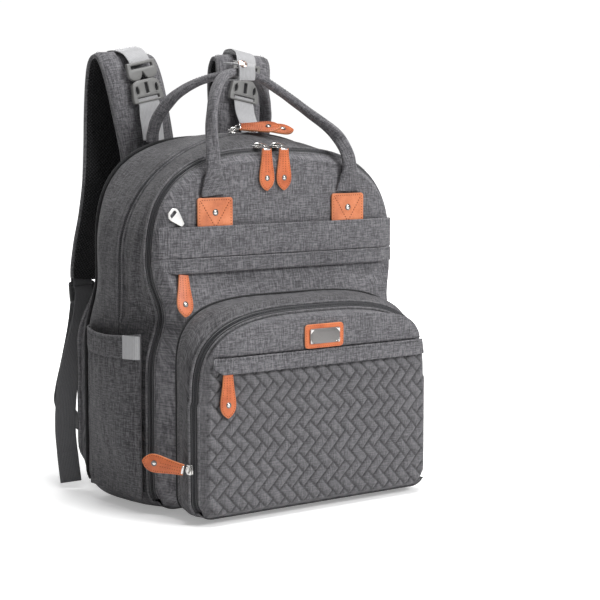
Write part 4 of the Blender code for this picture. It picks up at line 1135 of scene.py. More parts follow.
# =================================================================== front section
def front_disp(P):
    x, y, z = P[..., 0], P[..., 1], P[..., 2]
    side = smooth((np.abs(x) - 130) / 40)
    d = 0.8 * vn(P, (60, 30, 60), 13) + 0.4 * vn(P, (20, 14, 24), 14)
    # slack diagonal fold falling from the arch to the pinch
    d += side * 2.4 * np.exp(-(((y + 12) + (z - 262) * 0.16) / 6.0) ** 2) * smooth((z - 205) / 25) * smooth((345 - z) / 40)
    d -= side * 3.2 * np.exp(-(((y + 24) + (z - 290) * 0.10) / 6.5) ** 2) * smooth((z - 220) / 30) * smooth((370 - z) / 50)
    # crumple where the side turns in above the lower pocket
    d += side * 1.5 * vn(P, (40, 9, 16), 15) * np.exp(-((z - 232) / 30) ** 2)
    d += side * 1.3 * vn(P, (40, 9, 40), 17) * smooth((200 - z) / 30)
    fade = smooth((y + 38.0) / 6) * smooth((9.0 - y) / 6)
    d = d * fade
    zr = smooth((z - 206) / 6)
    d -= zr * 1.7 * np.exp(-((y - front_rim(z) + 3.0) / 1.5) ** 2)
    d -= 1.6 * np.exp(-((y + 35.2) / 1.5) ** 2) * smooth((z - 12) / 6)
    low = smooth((205 - z) / 10) * smooth((y + 30) / 8)
    d = np.where(low > 0.5, np.minimum(d, 0.4), d)                   # stays clear of the side pocket
    return np.where(z < 10, np.minimum(d, 0.0) * 0.3, d)


V, F, uv, mi, FO, FN = gusset("front", [(inset(D_LINE, 0.7), -38.6), (D_MID, -18.0), (C_LINE, front_rim)], np.linspace(0, 1, 30), 2.4, None, front_disp)
make("front_shell", V, F, [FAB_SHADED, LIN], "front_section", uv=uv, midx=mi, slot="side_fabric", replaces=("front_gusset",))
rim_tube("main_zip_front_edge", C_LINE, lambda z: front_rim(z) - 0.1, 1.5, PIPE, "front_section", dep=0.3, zmin=206, slot="side_fabric")
zip_half("main_zip_front", C_LINE, lambda z: front_rim(z), 13.0, "front_section", 206, -1, phase=0.0)
zip_half("front_zip_rear", D_LINE, -38.8, -42.3, "front_section", 12, 1, replaces=("front_zip_tape",), phase=0.5, depth=3.5, tilt=radians(40), rim_mat=PIPE, rim_r=1.6, rim_up=0.6, rim_name="front_zip_rear_edge")

padded_sheet("section_lining", inset(C_LINE, 7.5), 1.8, 5.4, [LIN], "front_section", 10, 61, ("section_divider",), ())

# slip pockets with an elastic hem on the divider
sheet = np.array([(-128, 1.0), (-122, -11), (-44, -12.5), (-40, -5), (-36, -12.5), (36, -12.5), (40, -5), (44, -12.5), (122, -11), (128, 1.0)], float)
sp = spline(np.array([(-128, 0.8), (-125, -7), (-118, -11), (-82, -11.8), (-46, -12), (-41, -8), (-40, -5), (-39, -8), (-34, -12), (0, -12.2), (34, -12), (39, -8), (40, -5), (41, -8), (46, -12), (82, -11.8), (118, -11), (125, -7), (128, 0.8)]), 6)
zs = np.linspace(22, 178, 46)
A = []
for z in zs:
    top = smooth((z - 166) / 4)
    rip = top * 0.35 * np.sin(sp[:, 0] * 2 * pi / 6.0)
    x, y = sp[:, 0], sp[:, 1] + rip + 0.4 * vn(np.stack([sp[:, 0], sp[:, 0] * 0, sp[:, 0] * 0 + z], -1), (30, 1, 40), 71) * smooth((y_ := -sp[:, 1]) / 8)
    tt = unit(np.gradient(np.stack([x, y], 1), axis=0))
    nn = np.stack([-tt[:, 1], tt[:, 0]], 1)
    o = np.stack([x, y, np.full(len(x), z)], 1)
    inn = np.stack([x + nn[:, 0] * 1.1, np.minimum(y + nn[:, 1] * 1.1, 1.0), np.full(len(x), z)], 1)
    A.append(np.concatenate([o, inn[::-1]]))
A = np.array(A)
F, uv = grid(A, closed_u=True)
F = [tuple(f) for f in F]
uv = [tuple(q) for q in uv]
n1, n2 = len(sp), A.shape[1]
for row in (0, len(zs) - 1):
    for j in range(n1 - 1):
        F.append((row * n2 + j, row * n2 + j + 1, row * n2 + n2 - 2 - j, row * n2 + n2 - 1 - j))
        uv += [(0, 0), (0.002, 0), (0.002, 0.002), (0, 0.002)]
make("slip_pockets", A.reshape(-1, 3), F, [LIN], "front_section", uv=uv, slot="lining", replaces=("inner_pockets",))
hem = np.stack([sp[2:-2, 0], sp[2:-2, 1] - 0.4, np.full(len(sp) - 4, 178.2)], 1)
tube("slip_pockets_hem", hem, 1.0, TAPE, "front_section", slot="zip_tape")

# =================================================================== front cover
D_IN = inset_low(D_LINE, 6.2, 2.0, 13.0)
right = resample(D_IN[np.arange(NB, HALF)], 150)
s = np.linspace(-1, 1, 130)
s = np.sign(s) * np.abs(s) ** 0.9
X, Z = right[:, :1] * s[None], np.repeat(right[:, 1:], len(s), 1)
D = edge_dist(X, Z, D_IN)
drop = 1 - smooth(D / 9.0)
P3 = np.stack([X, X * 0, Z], -1)
wr = 1.2 * vn(P3, (70, 1, 55), 81) + 0.5 * vn(P3, (24, 1, 26), 82)
wr += 1.9 * np.exp(-((Z - 240) / 22) ** 2) * vn(P3, (60, 1, 16), 83)             # slack folds between band and lower pocket
wr += 1.0 * np.exp(-((Z - 372) / 30) ** 2) * vn(P3, (34, 1, 40), 84) * smooth((D - 8) / 20)
PR_ = P_REAR[P_REAR[:, 0] > 0]
PR_ = PR_[np.argsort(PR_[:, 1], kind="stable")]
pw_ = np.where(Z > PR_[-1, 1], 0.0, np.interp(Z, PR_[:, 1], PR_[:, 0]))
wr = wr * (1 - smooth((pw_ - np.abs(X) - 2) / 5))
fy = face_y(Z)
yf = fy + (-48.5 - fy) * (drop ** 1.5) - wr * smooth((D - 3) / 12)
behind = smooth((322 - Z) / 4) * smooth((Z - 260) / 4)
yf = np.where(behind > 0, np.maximum(yf, fy + 0.1 * 0 + (-48.5 - fy) * (drop ** 1.5)), yf)
yb = np.full_like(X, -46.4)
# clear of the lower pocket's rear rim: flat there
V, F, uv, mi = sheet_solid(X, Z, yf, yb)
make("front_face", V, F, [FAB, LIN], "front_cover", uv=uv, midx=mi, slot="heather_fabric", replaces=("front_panel",))
zip_half("front_zip_front", D_LINE, -45.9, -42.3, "front_cover", 12, -1, phase=0.0, depth=3.5, tilt=radians(40), rim_mat=PIPE, rim_r=1.8, rim_up=0.6, rim_name="front_zip_front_edge")

st_cover = Pile()
# topstitch round the face
q = inset(D_LINE, 14.5)
kk = q[:, 1] > 325
start = next(k for k in np.where(kk)[0] if q[k, 0] > 0)
seq = np.arange(start, start + kk.sum())
qq = q[seq]
ystitch = face_y(qq[:, 1]) + (-48.5 - face_y(qq[:, 1])) * ((1 - smooth(8.3 / 9)) ** 1.5)
stitch_into(st_cover, np.stack([qq[:, 0], ystitch - 0.5, qq[:, 1]], 1), (0, -1, 0))


# slip-pocket band across the face: an open-topped sheet that stands proud of it
def soft_plate(name, poly, yc, thick, mats, body, slot, reps=(), bulge=0.0, seed=1, cell=(40, 1, 20), amp=0.35, nx=120, nz=30, roll=1.4, stitch=(), bend=(0.0, 1e9, 1.0)):
    """Flat fabric piece with rounded, slightly swollen edges from a closed polygon that is convex in x for each z."""
    poly = np.array(poly, float)
    z0, z1 = poly[:, 1].min(), poly[:, 1].max()
    zz = np.linspace(z0, z1, nz)
    zz[0] += 1e-4
    zz[-1] -= 1e-4
    A, B = poly, np.roll(poly, -1, 0)
    xl, xr = [], []
    for z in zz:
        xs = []
        for a, b in zip(A, B):
            if (a[1] - z) * (b[1] - z) <= 0 and abs(a[1] - b[1]) > 1e-9:
                xs.append(a[0] + (b[0] - a[0]) * (z - a[1]) / (b[1] - a[1]))
        xl.append(min(xs))
        xr.append(max(xs))
    xl, xr = np.array(xl), np.array(xr)
    u = 0.5 - 0.5 * np.cos(np.linspace(0, pi, nx))
    u = 0.35 * u + 0.65 * np.linspace(0, 1, nx)
    X = xl[:, None] * (1 - u) + xr[:, None] * u
    Z = np.repeat(zz[:, None], nx, 1)
    D = edge_dist(X, Z, poly)
    k = np.sqrt(np.clip(1 - (1 - np.clip(D / roll, 0, 1)) ** 2, 0, 1))
    P3 = np.stack([X, X * 0, Z], -1)
    w = amp * vn(P3, cell, seed) + 0.4 * amp * vn(P3, (14, 1, 12), seed + 1)
    mid = yc + bend[0] * smooth((np.abs(X) - bend[1]) / bend[2])
    front = mid - thick / 2 * k - bulge * smooth(D / 10) - w * smooth((D - 1) / 6)
    for z_ in stitch:
        front = front + 0.5 * np.exp(-((Z - z_) / 0.9) ** 2)
    backy = mid + thick / 2 * k
    V, F, uv, mi = sheet_solid(X, Z, front, backy)
    ob = make(name, V, F, mats, body, uv=uv, midx=mi, slot=slot, replaces=reps)
    return ob, X, Z, front


band_poly = round_poly([(-164.5, 318), (-164.5, 283.4), (164.5, 283.4), (164.5, 318)], 1.5)
ob, BX, BZ, BF = soft_plate("band_front", band_poly, -63.2, 2.0, [FAB, FAB], "front_cover", "heather_fabric", ("band_pocket",), bulge=0.5, seed=91, cell=(46, 1, 24), amp=0.75, nx=150, nz=36, stitch=(314.5,), roll=0.7, bend=(8.5, 136, 29))
# returns of the tray: the band's sides and floor reach the face
bs = spline([(-162.2, 317), (-162.4, 300), (-162, 291), (-157.5, 285.6), (-150, 285), (-60, 285), (60, 285), (150, 285), (157.5, 285.6), (162, 291), (162.4, 300), (162.2, 317)], 8)
tt = unit(np.gradient(bs, axis=0))
nn = np.stack([-tt[:, 1], tt[:, 0]], 1)
yb_ = -62.9 + 8.5 * smooth((np.abs(bs[:, 0]) - 136) / 29)
yc_ = -57.0 + 7.0 * smooth((np.abs(bs[:, 0]) - 146) / 14)
A = np.array([[(p[0], y, p[1]), (p[0], e, p[1]), (p[0] + n[0] * 1.2, e, p[1] + n[1] * 1.2), (p[0] + n[0] * 1.2, y, p[1] + n[1] * 1.2)] for p, n, y, e in zip(bs, nn, yb_, yc_)])
F, uv = grid(A, closed_u=True)
F = [tuple(f) for f in F] + [tuple(range(4)), tuple(range((len(bs) - 1) * 4, len(bs) * 4))]
make("band_returns", A.reshape(-1, 3), F, [FAB], "front_cover", uv=list(uv) + [(0, 0)] * 8, slot="heather_fabric", sharp=50)
for z_, lo, hi in ((314.5, -160, 160),):
    xs = np.linspace(lo, hi, 80)
    i_row = int(np.argmin(np.abs(BZ[:, 0] - z_)))
    yy = np.interp(xs, BX[i_row], BF[i_row])
    stitch_into(st_cover, np.stack([xs, yy - 0.05, np.full(80, z_)], 1), (0, -1, 0))

# placket under the band and on the lower pocket: flaps over hidden zips
band_pl = round_poly([(-164, 283.0), (164, 283.0), (164, 266.2), (-150, 266.2), (-157, 268.6), (-164, 275)], 1.5)
soft_plate("band_flap", band_pl, -64.2, 1.6, [FAB, LIN], "band_placket", "heather_fabric", ("band_placket",), bulge=0.15, seed=95, amp=0.3, nx=130, nz=18, stitch=(280.2,), roll=0.6, bend=(8.5, 136, 29))
st_flap1 = Pile()
xs = np.linspace(-156, 156, 80)
stitch_into(st_flap1, np.stack([xs, -65.3 + 8.5 * smooth((np.abs(xs) - 136) / 29), np.full(80, 280.2)], 1), (0, -1, 0))
xs = np.linspace(-146, 160, 80)

st_flap1.make("band_flap_stitches", [THREAD], "band_placket", slot="heather_fabric")

# lower pocket gusset
def pg_disp(P):
    x, y, z = P[..., 0], P[..., 1], P[..., 2]
    side = smooth((np.abs(x) - 120) / 30)
    d = 0.8 * vn(P, (60, 24, 50), 101) + 0.35 * vn(P, (20, 12, 22), 102)
    d += side * 1.5 * vn(P, (50, 11, 60), 103)
    top = smooth((z - 215) / 12)
    d += top * 0.8 * vn(P, (40, 14, 60), 104)
    fade = smooth((y + 114.5) / 5) * smooth((face_y(z) - 0.6 - y) / 6)
    d = d * fade
    d -= 1.6 * np.exp(-((y + 111.2) / 1.5) ** 2) * smooth((z - 12) / 6)
    return np.where(z < 12, np.minimum(d, 0.0) * 0.3, d)


V, F, uv, mi, PO, PN = gusset("pg", [(inset(P_FRONT, 0.7), -114.8), (P_MID, lambda z: (face_y(z) - 0.4) * 0.5 - 57.4), (P_REAR, lambda z: face_y(z) - 0.4)], np.linspace(0, 1, 24), 2.2, None, pg_disp)
make("lower_pocket_wall", V, F, [FAB_SHADED, LIN], "front_cover", uv=uv, midx=mi, slot="side_fabric", replaces=("pocket_gusset",))
PB = inset(P_REAR, 1.5)
right = resample(PB[np.arange(NB, HALF)], 70)
s = np.linspace(-1, 1, 70)
X, Z = right[:, :1] * s[None], np.repeat(right[:, 1:], len(s), 1)
D = edge_dist(X, Z, PB)
fy = face_y(Z)
V, F, uv, mi = sheet_solid(X, Z, fy - 0.9 - 1.6 * smooth(D / 8) - 0.5 * vn(np.stack([X, X * 0, Z], -1), (60, 1, 50), 105) * smooth((D - 5) / 20), fy + 0.5)
make("pocket_back_lining", V, F, [LIN, LIN], "front_cover", uv=uv, midx=mi, slot="lining")
rim_tube("lower_pocket_base_piping", P_REAR, lambda z: face_y(z) - 1.4, 1.9, DARKFAB, "front_cover", dep=0.2, zmin=8, slot="zip_tape")
zip_half("pocket_zip_rear", P_FRONT, -114.8, -118.2, "front_cover", 10, 1, replaces=("pocket_zip_tape",), phase=0.5, depth=4.0, tilt=radians(45), rim_mat=PIPE, rim_r=1.6, rim_up=0.6, rim_name="pocket_zip_rear_edge")


# =================================================================== lower pocket cover with the quilt
P_IN = inset_low(P_FRONT, 7.0, 3.0, 12.0)
right = resample(P_IN[np.arange(NB, HALF)], 215)
s = np.linspace(-1, 1, 300)
X, Z = right[:, :1] * s[None], np.repeat(right[:, 1:], len(s), 1)
D = edge_dist(X, Z, P_IN)
P3 = np.stack([X, X * 0, Z], -1)
w_ = 11.8                                            # herringbone of padded bars, w_ wide and two widths long
Xq = X + 0.8 * vn(P3, (45, 1, 45), 111)
Zq = Z + 0.8 * vn(P3, (45, 1, 45), 112)
p_, q_ = (Xq + Zq) / 2 ** 0.5 / w_, (Xq - Zq) / 2 ** 0.5 / w_
bi, bj = np.floor(p_), np.floor(q_)
k_ = np.mod(bi - bj, 4)
flat_ = k_ < 2
along_ = np.where(flat_, p_ - bi + k_, q_ - bj + 3 - k_)
across_ = np.where(flat_, q_ - bj, p_ - bi)
d1 = np.minimum(across_, 1 - across_) * w_           # to the nearest long seam
d2 = np.minimum(along_, 2 - along_) * w_             # to the bar's ends
dg = np.minimum(d1, d2)
pad = (2.0 * (1 - np.exp(-(dg / 1.7) ** 1.4)) + 0.5 * smooth(dg / 6.0)) * (1 + 0.14 * vn(P3, (9, 1, 9), 117))
quilt = smooth((181.5 - Z) / 1.0)
edge = smooth((D - 4.0) / 3.0)
bulge = 4.0 * smooth(D / 55) * smooth((175 - Z) / 70) * 0.6
wr = 0.7 * vn(P3, (60, 1, 50), 113) + 0.3 * vn(P3, (24, 1, 24), 114)
base_front = -131.2 + 8.6 * (1 - smooth(D / 9.0)) ** 1.5
yf = base_front - (pad * quilt * edge) - bulge - wr * 0.7 * smooth((D - 4) / 10) + 0.9 * (1 - quilt) * smooth((D - 3) / 8)
yf = np.maximum(yf, -137.6)
yf = np.where(Z > 182, np.maximum(yf, -133.6), yf)
yb = np.full_like(X, -121.8)
V, F, uv, mi = sheet_solid(X, Z, np.minimum(yf, -122.6), yb)
pf = make("pocket_face", V, F, [FABQ, LIN], "pocket_cover", uv=uv, midx=mi, slot="quilted_fabric", replaces=("pocket_panel",))
# painted shade mask: strongest along the quilting grooves, darkens the quilt heather there
groove_shade_mask = (np.exp(-(dg / 1.15) ** 2) * quilt * edge).ravel()
pa_ = pf.data.attributes.new("pit", "FLOAT", "POINT")
pa_.data.foreach_set("value", np.concatenate([groove_shade_mask, np.zeros(groove_shade_mask.size)]).astype(np.float32))
zip_half("pocket_zip_front", P_FRONT, -121.7, -118.2, "pocket_cover", 10, -1, phase=0.0, depth=4.0, tilt=radians(45), rim_mat=PIPE, rim_r=1.9, rim_up=0.6, rim_name="pocket_zip_front_edge")

# yoke: plain fabric over the pocket's upper face
yp = spline([(-147, 181), (-144.5, 189), (-136, 199), (-121, 208), (-98, 213.5), (-60, 217), (0, 218), (60, 217), (98, 213.5), (121, 208), (136, 199), (144.5, 189), (147, 181)], 5)
yoke_poly = [tuple(p) for p in yp]
ob, YX, YZ, YF = soft_plate("pocket_yoke_cloth", yoke_poly, -134.9, 2.0, [FAB, FAB], "pocket_cover", "heather_fabric", ("pocket_yoke",), bulge=0.4, seed=121, amp=0.35, nx=130, nz=30, roll=1.6, bend=(3.4, 128, 20))
pl_poly = round_poly([(-147, 180.6), (147, 180.6), (150, 162.4), (-137, 162.4), (-148, 170.4)], 1.2)
soft_plate("pocket_flap", pl_poly, -138.9, 1.6, [FAB, LIN], "pocket_placket", "heather_fabric", ("pocket_placket",), bulge=0.1, seed=125, amp=0.25, nx=130, nz=18, stitch=(178.0,), roll=0.6, bend=(3.4, 130, 20))
st_flap2 = Pile()
xs = np.linspace(-140, 140, 80)
stitch_into(st_flap2, np.stack([xs, -139.9 + 3.4 * smooth((np.abs(xs) - 130) / 20), np.full(80, 178.0)], 1), (0, -1, 0))
xs = np.linspace(-134, 146, 80)

st_flap2.make("pocket_flap_stitches", [THREADD], "pocket_placket", slot="heather_fabric")


# =================================================================== leather and metal details
def leather_piece(name, outlines, thick, fr, body, reps=(), dome=0.0, bevel=0.55):
    V, F = curve_plate(outlines, thick, bevel, 2)
    # faces on the cut edge get the raw edge colour
    mi = []
    for f in F:
        p = V[list(f)]
        n = np.cross(p[1] - p[0], p[2] - p[0])
        n = n / max(np.linalg.norm(n), 1e-9)
        mi.append(1 if abs(n[2]) < 0.75 else 0)
    return make(name, place(V, fr), F, [LEAP if "patch" in name else LEA, LEAE], body, midx=mi, slot="leather", replaces=reps, sharp=45, uv=[(V[i][0] * MM, V[i][1] * MM) for f in F for i in f])


def rivet(pile, c, fr, r=2.9, m=0, ring=1):
    o, R = fr
    f2 = (np.array(place(np.array([c]), fr))[0], R)
    V, F = torus(r, 0.7, f2, 22, 6)
    pile.add(V, F, m=ring)
    V, F = ellipsoid((0, 0, -0.2), (r * 0.86, r * 0.86, 1.0), f2, 16, 6, half=True)
    pile.add(V, F, m=m)


def teardrop(length, width):
    side = [(0.30, 0.0), (0.315, 0.06), (0.345, 0.18), (0.40, 0.36), (0.475, 0.55), (0.502, 0.66), (0.495, 0.75), (0.43, 0.84), (0.30, 0.915), (0.15, 0.968), (0.055, 0.993)]
    sp_ = spline([(a * width, -length * b) for a, b in side], 3)
    right = [tuple(p) for p in sp_]
    return right + [(0.0, -length)] + [(-x, y) for x, y in reversed(right)]


def pull_piece(name, hinge, along, face, body, start=1.2, node=None, link=True, roll=0.0):
    """Teardrop leather pull: body, stitched border and neck lines, rivet with ring, and the link to its slider."""
    a = unit(along)
    x = unit(np.cross(a, face))
    if roll:
        z_ = unit(np.cross(x, -a))
        x = x * cos(roll) + z_ * sin(roll)
    fr = axes(np.array(hinge, float) + a * start, x, -a)
    o, R = fr
    Lp, Wp, T = 48.0, 20.0, 2.4
    out = teardrop(Lp, Wp)
    leather_piece(name + "_leather", [out], T, fr, body, reps=(node,) if node else ())
    pl = Pile()
    # border stitches follow the outline 1.7 mm in, on both faces
    P = np.array(out)
    ins = inset(P[::-1], 1.7)[::-1] if np.cross(P[1] - P[0], P[5] - P[0]) < 0 else inset(P, 1.7)
    ctr = np.array([0.0, -Lp * 0.55])
    if np.linalg.norm(ins - ctr, axis=1).mean() > np.linalg.norm(P - ctr, axis=1).mean():
        ins = P + (P - ins)
    ins = ins[(ins[:, 1] < -1.5)]
    for zz in (T / 2, -T / 2):
        stitch_into(pl, place(np.concatenate([ins, np.full((len(ins), 1), zz)], 1), fr), R[2] * np.sign(zz), length=1.9, gap=0.7, r=0.55, lift=0.03)
        for xo_ in (-1.9, 1.9):
            ln = np.array([(xo_ * 0.9, -3.0, zz), (xo_, -Lp * 0.58, zz)])
            stitch_into(pl, place(ln, fr), R[2] * np.sign(zz), length=1.9, gap=0.7, r=0.55, lift=0.03)
        f2 = (o, R) if zz > 0 else (o, np.stack([R[0], -R[1], -R[2]]))
        cy = -Lp * 0.70 if zz > 0 else Lp * 0.70
        rivet(pl, (0, cy, T / 2), f2, 2.7, m=1, ring=2)
    # metal ferrule and link at the neck
    if link:
        V, F = box_local(9.6, 2.4, 3.2, 0.7, (o + R[1] * (-0.9), R))
        pl.add(V, F, m=1)
        if link == "ring":
            V, F = torus(3.0, 0.65, (o + R[1] * 1.4, R), 20, 6)
            pl.add(V, F, m=1)
    pl.make(name + "_trim", [THREADB, NICK, NICKD], body, slot="nickel", sharp=50)


# main sliders and pulls
MAINROLL = radians(34)
ARC_R, ARC_C = 218.3, np.array([0, 13.0, 201.3])


def on_arc(x, lift):
    a = x / ARC_R
    return np.array([(ARC_R + lift) * sin(a), 13.0, 201.3 + (ARC_R + lift) * cos(a)]), a


def slider_body(pile, fr, L_=11.0, W_=9.0, H_=4.4, m=0):
    """Slider: tapered upper plate, lower plate, wedge and a raised crown. Local x along the zip, y across, z outward."""
    o, R = fr
    top = round_poly([(-L_ / 2, -W_ * 0.34), (-L_ / 2 + 1, -W_ * 0.36), (L_ * 0.12, -W_ / 2), (L_ / 2, -W_ * 0.46), (L_ / 2, W_ * 0.46), (L_ * 0.12, W_ / 2), (-L_ / 2 + 1, W_ * 0.36), (-L_ / 2, W_ * 0.34)], 1.0, 3)
    V, F = curve_plate([top], 1.3, 0.4, 2)
    pile.add(place(V + np.array([0, 0, H_ / 2 - 0.9]), fr), F, m=m)
    pile.add(place(V * np.array([0.96, 0.96, 1]) + np.array([0, 0, -H_ / 2 + 0.5]), fr), F, m=m)
    V, F = box_local(L_ * 0.42, W_ * 0.30, H_ * 0.7, 0.4, (o + R[0] * (L_ * 0.24) - R[2] * 0.2, R))
    pile.add(V, F, m=m)
    # crown: arch of flat bar along x
    pa = np.array([(-L_ * 0.36, 0, H_ / 2 - 0.6), (-L_ * 0.30, 0, H_ / 2 + 1.2), (0, 0, H_ / 2 + 2.3), (L_ * 0.28, 0, H_ / 2 + 1.3), (L_ * 0.36, 0, H_ / 2 - 0.6)])
    pa = spline(pa, 5)
    V, F, uv = sweep(place(pa, fr), flat_section(3.0, 1.2, 3), hint=R[1])
    pile.add(V, F, m=m)


for tag, x0, along in (("left", -17.0, (0.80, -0.55, 0.0)), ("right", 7.0, (0.955, -0.20, -0.08))):
    c, ang = on_arc(x0, 3.0)
    fr = (c, np.stack([np.array([cos(ang), 0, -sin(ang)]) * (-1 if tag == "left" else 1), np.array([0, 1.0, 0]), np.array([sin(ang), 0, cos(ang)])]))
    if tag == "left":
        fr = (fr[0], np.stack([fr[1][0], -fr[1][1], fr[1][2]]))
    pl = Pile()
    slider_body(pl, fr, m=0)
    pl.make("main_slider_metal_" + tag, [NICK], "main_slider_" + tag, slot="nickel", replaces=("main_slider_" + tag,), sharp=50)
    h, _ = on_arc(x0 + 5.0, 7.6)
    pull_piece("main_pull_" + tag, (h[0], h[1] - 1.0, h[2]), along, (-0.02, 0.0, 1.0), "main_pull_" + tag, start=2.0, node="main_pull_" + tag, roll=MAINROLL, link="ring")

for tag, x0 in (("left", -23.0), ("right", 1.0)):
    pl = Pile()
    fr = (np.array([x0, -42.3, 404.9]), np.stack([np.array([1.0, 0, 0]), np.array([0, 1.0, 0]), np.array([0, 0, 1.0])]))
    if tag == "left":
        fr = (fr[0], np.stack([-fr[1][0], -fr[1][1], fr[1][2]]))
    slider_body(pl, fr, 10, 8.6, 3.6, m=0)
    arm = spline([(x0, -41.0, 407.2), (x0, -46.0, 407.9), (x0, -51.5, 407.6), (x0, -57.0, 406.4), (x0, -59.4, 405.2)], 5)
    V, F, uv = sweep(arm, flat_section(6.0, 1.5, 4), hint=(1, 0, 0))
    pl.add(V, F, uv, m=0)
    pl.make("front_slider_metal_" + tag, [NICK], "front_slider_" + tag, slot="nickel", replaces=("front_slider_" + tag,), sharp=50)
    pull_piece("front_pull_" + tag, (x0, -60.4, 404.6), (0, 0, -1), (0, -1, 0), "front_pull_" + tag, start=1.6, node="front_pull_" + tag)

# edge slider of the lower pocket, and its pull
pl = Pile()
fr = (np.array([-167.9, -118.2, 60.0]), np.stack([np.array([0, 0, -1.0]), np.array([0, 1.0, 0]), np.array([-1.0, 0, 0])]))
fr = (fr[0], np.stack([fr[1][0], -fr[1][1], fr[1][2]])) if np.dot(np.cross(fr[1][0], fr[1][1]), fr[1][2]) < 0 else fr
slider_body(pl, fr, 11, 8.6, 4.0, m=0)
V, F = torus(3.6, 0.75, (np.array([-172.2, -118.6, 58.5]), np.stack([np.array([0.6, 0.3, 0.74]), unit(np.cross(np.array([0.78, 0.5, -0.4]), np.array([0.6, 0.3, 0.74]))), np.array([0.78, 0.5, -0.4])])), 20, 6)
pl.make("edge_slider_metal", [NICK], "edge_slider", slot="nickel", replaces=("edge_slider",), sharp=50)
pull_piece("edge_pull", (-173.4, -118.2, 60.0), (-0.60, 0.77, 0.17), (-0.77, -0.60, 0.0), "edge_pull", start=2.2, node="edge_pull", link=True)

# band and pocket sliders hide behind their plackets
for nm, c, bd, hinge, along, face, pb in (
        ("band", (-138.0, -61.6, 271.8), "front_cover", (-138.0, -62.6, 263.4), (-0.14, -0.31, -0.94), (0, -0.94, 0.31), "band_pull"),
        ("pocket", (-130.0, -136.1, 169.2), "pocket_slider", (-130.0, -137.0, 160.8), (0, 0, -1), (0, -1, 0), "pocket_pull")):
    pl = Pile()
    fr = (np.array(c, float), np.stack([np.array([1.0, 0, 0]), np.array([0, 0, 1.0]), np.array([0, -1.0, 0])]))
    V, F = box_local(9, 10.5, 2.6, 0.8, fr)
    pl.add(V, F, m=0)
    pl.make(nm + "_slider_metal", [NICK], bd, slot="nickel", replaces=(nm + "_slider",), sharp=50)
    pull_piece(nm + "_pull", hinge, along, face, pb, start=-2.0, node=nm + "_pull", link=False)

# straight zips under the two flaps: tape with its edge cords, and two meshing rows of teeth
def flat_zip(name, x0, x1, z, y, body):
    pl = Pile()
    V, F = curve_plate([rounded_rect(x1 - x0, 11, 1.2)], 0.8, 0.2, 1)
    pl.add(place(V, axes(((x0 + x1) / 2, y, z), (1, 0, 0), (0, 0, 1))), F, m=0)
    for sg in (-1, 1):
        V, F, uv = sweep(np.array([(x0 + 1, y - 0.5, z + sg * 3.1), (x1 - 1, y - 0.5, z + sg * 3.1)]), circle(0.6, 6))
        pl.add(V, F, uv, 1)
        V, F = [], []
        for x in np.arange(x0 + 2, x1 - 2, 2.4) + (0.6 if sg > 0 else -0.6):
            o = len(V)
            for zz, h in ((sg * 2.6, 0.42), (-sg * 0.5, 0.58)):
                V += [(x - h, y - 0.3, z + zz), (x + h, y - 0.3, z + zz), (x + h * 0.7, y - 1.2, z + zz), (x - h * 0.7, y - 1.2, z + zz)]
            F += [(o, o + 1, o + 2, o + 3), (o + 4, o + 7, o + 6, o + 5)] + [(o + e, o + 4 + e, o + 4 + (e + 1) % 4, o + (e + 1) % 4) for e in range(4)]
        pl.add(V, F, m=1)
    pl.make(name, [TAPE, COIL], body, slot="zip_tape", sharp=60)


flat_zip("band_zip", -143, 136, 271.8, -60.4, "front_cover")
flat_zip("pocket_face_zip", -136, 134, 169.2, -135.2, "pocket_cover")

# leather patches at the front handle's feet, with border and V stitching
for tag, sx in (("left", -94), ("right", 94)):
    fr = axes((sx, -60.0, 324.8), (1, 0, 0), (0, 0, 1))
    leather_piece("handle_patch_leather_" + tag, [rounded_rect(47, 49, 3.5)], 2.6, fr, "front_cover", reps=("handle_patch_" + tag,), bevel=0.7)
    pl = Pile()
    o, R = fr
    q = np.array(rounded_rect(47 - 5, 49 - 5, 2.5))
    stitch_into(pl, place(np.concatenate([q, np.full((len(q), 1), 1.3)], 1), fr), (0, -1, 0), length=2.3, gap=0.9, r=0.62, closed=True, lift=0.0)
    vl = np.array([(-19, 20, 1.3), (0, -9, 1.3), (19, 20, 1.3)], float)
    stitch_into(pl, place(vl, fr), (0, -1, 0), length=2.6, gap=0.7, r=0.78, lift=0.05)
    vl = np.array([(0, -9, 1.3), (0, -21, 1.3)], float)
    stitch_into(pl, place(vl, fr), (0, -1, 0), length=2.6, gap=0.7, r=0.78, lift=0.05)
    rivet(pl, (0, 8.0, 1.3), fr, 3.2, m=1, ring=2)
    pl.make("handle_patch_trim_" + tag, [THREADB, NICK, NICKD], "front_cover", slot="leather", sharp=50)

# slotted metal puller standing in the band
Vs, Fs = curve_plate([round_poly([(-2.4, 0), (2.4, 0), (7.2, 15.0), (7.4, 19.0), (4.0, 23.5), (-4.0, 23.5), (-7.4, 19.0), (-7.2, 15.0)], 1.0), round_poly([(-4.6, 16.0), (4.6, 16.0), (4.6, 18.6), (3.4, 20.2), (-3.4, 20.2), (-4.6, 18.6)], 0.7)], 1.6, 0.45, 2)
make("slot_puller_metal", place(Vs, axes((-136.5, -60.2, 319.9), (1, 0, 1.0), (-1.0, 0, 1))), Fs, [WMET], "slot_puller", slot="nickel", replaces=("slot_puller",), sharp=50)

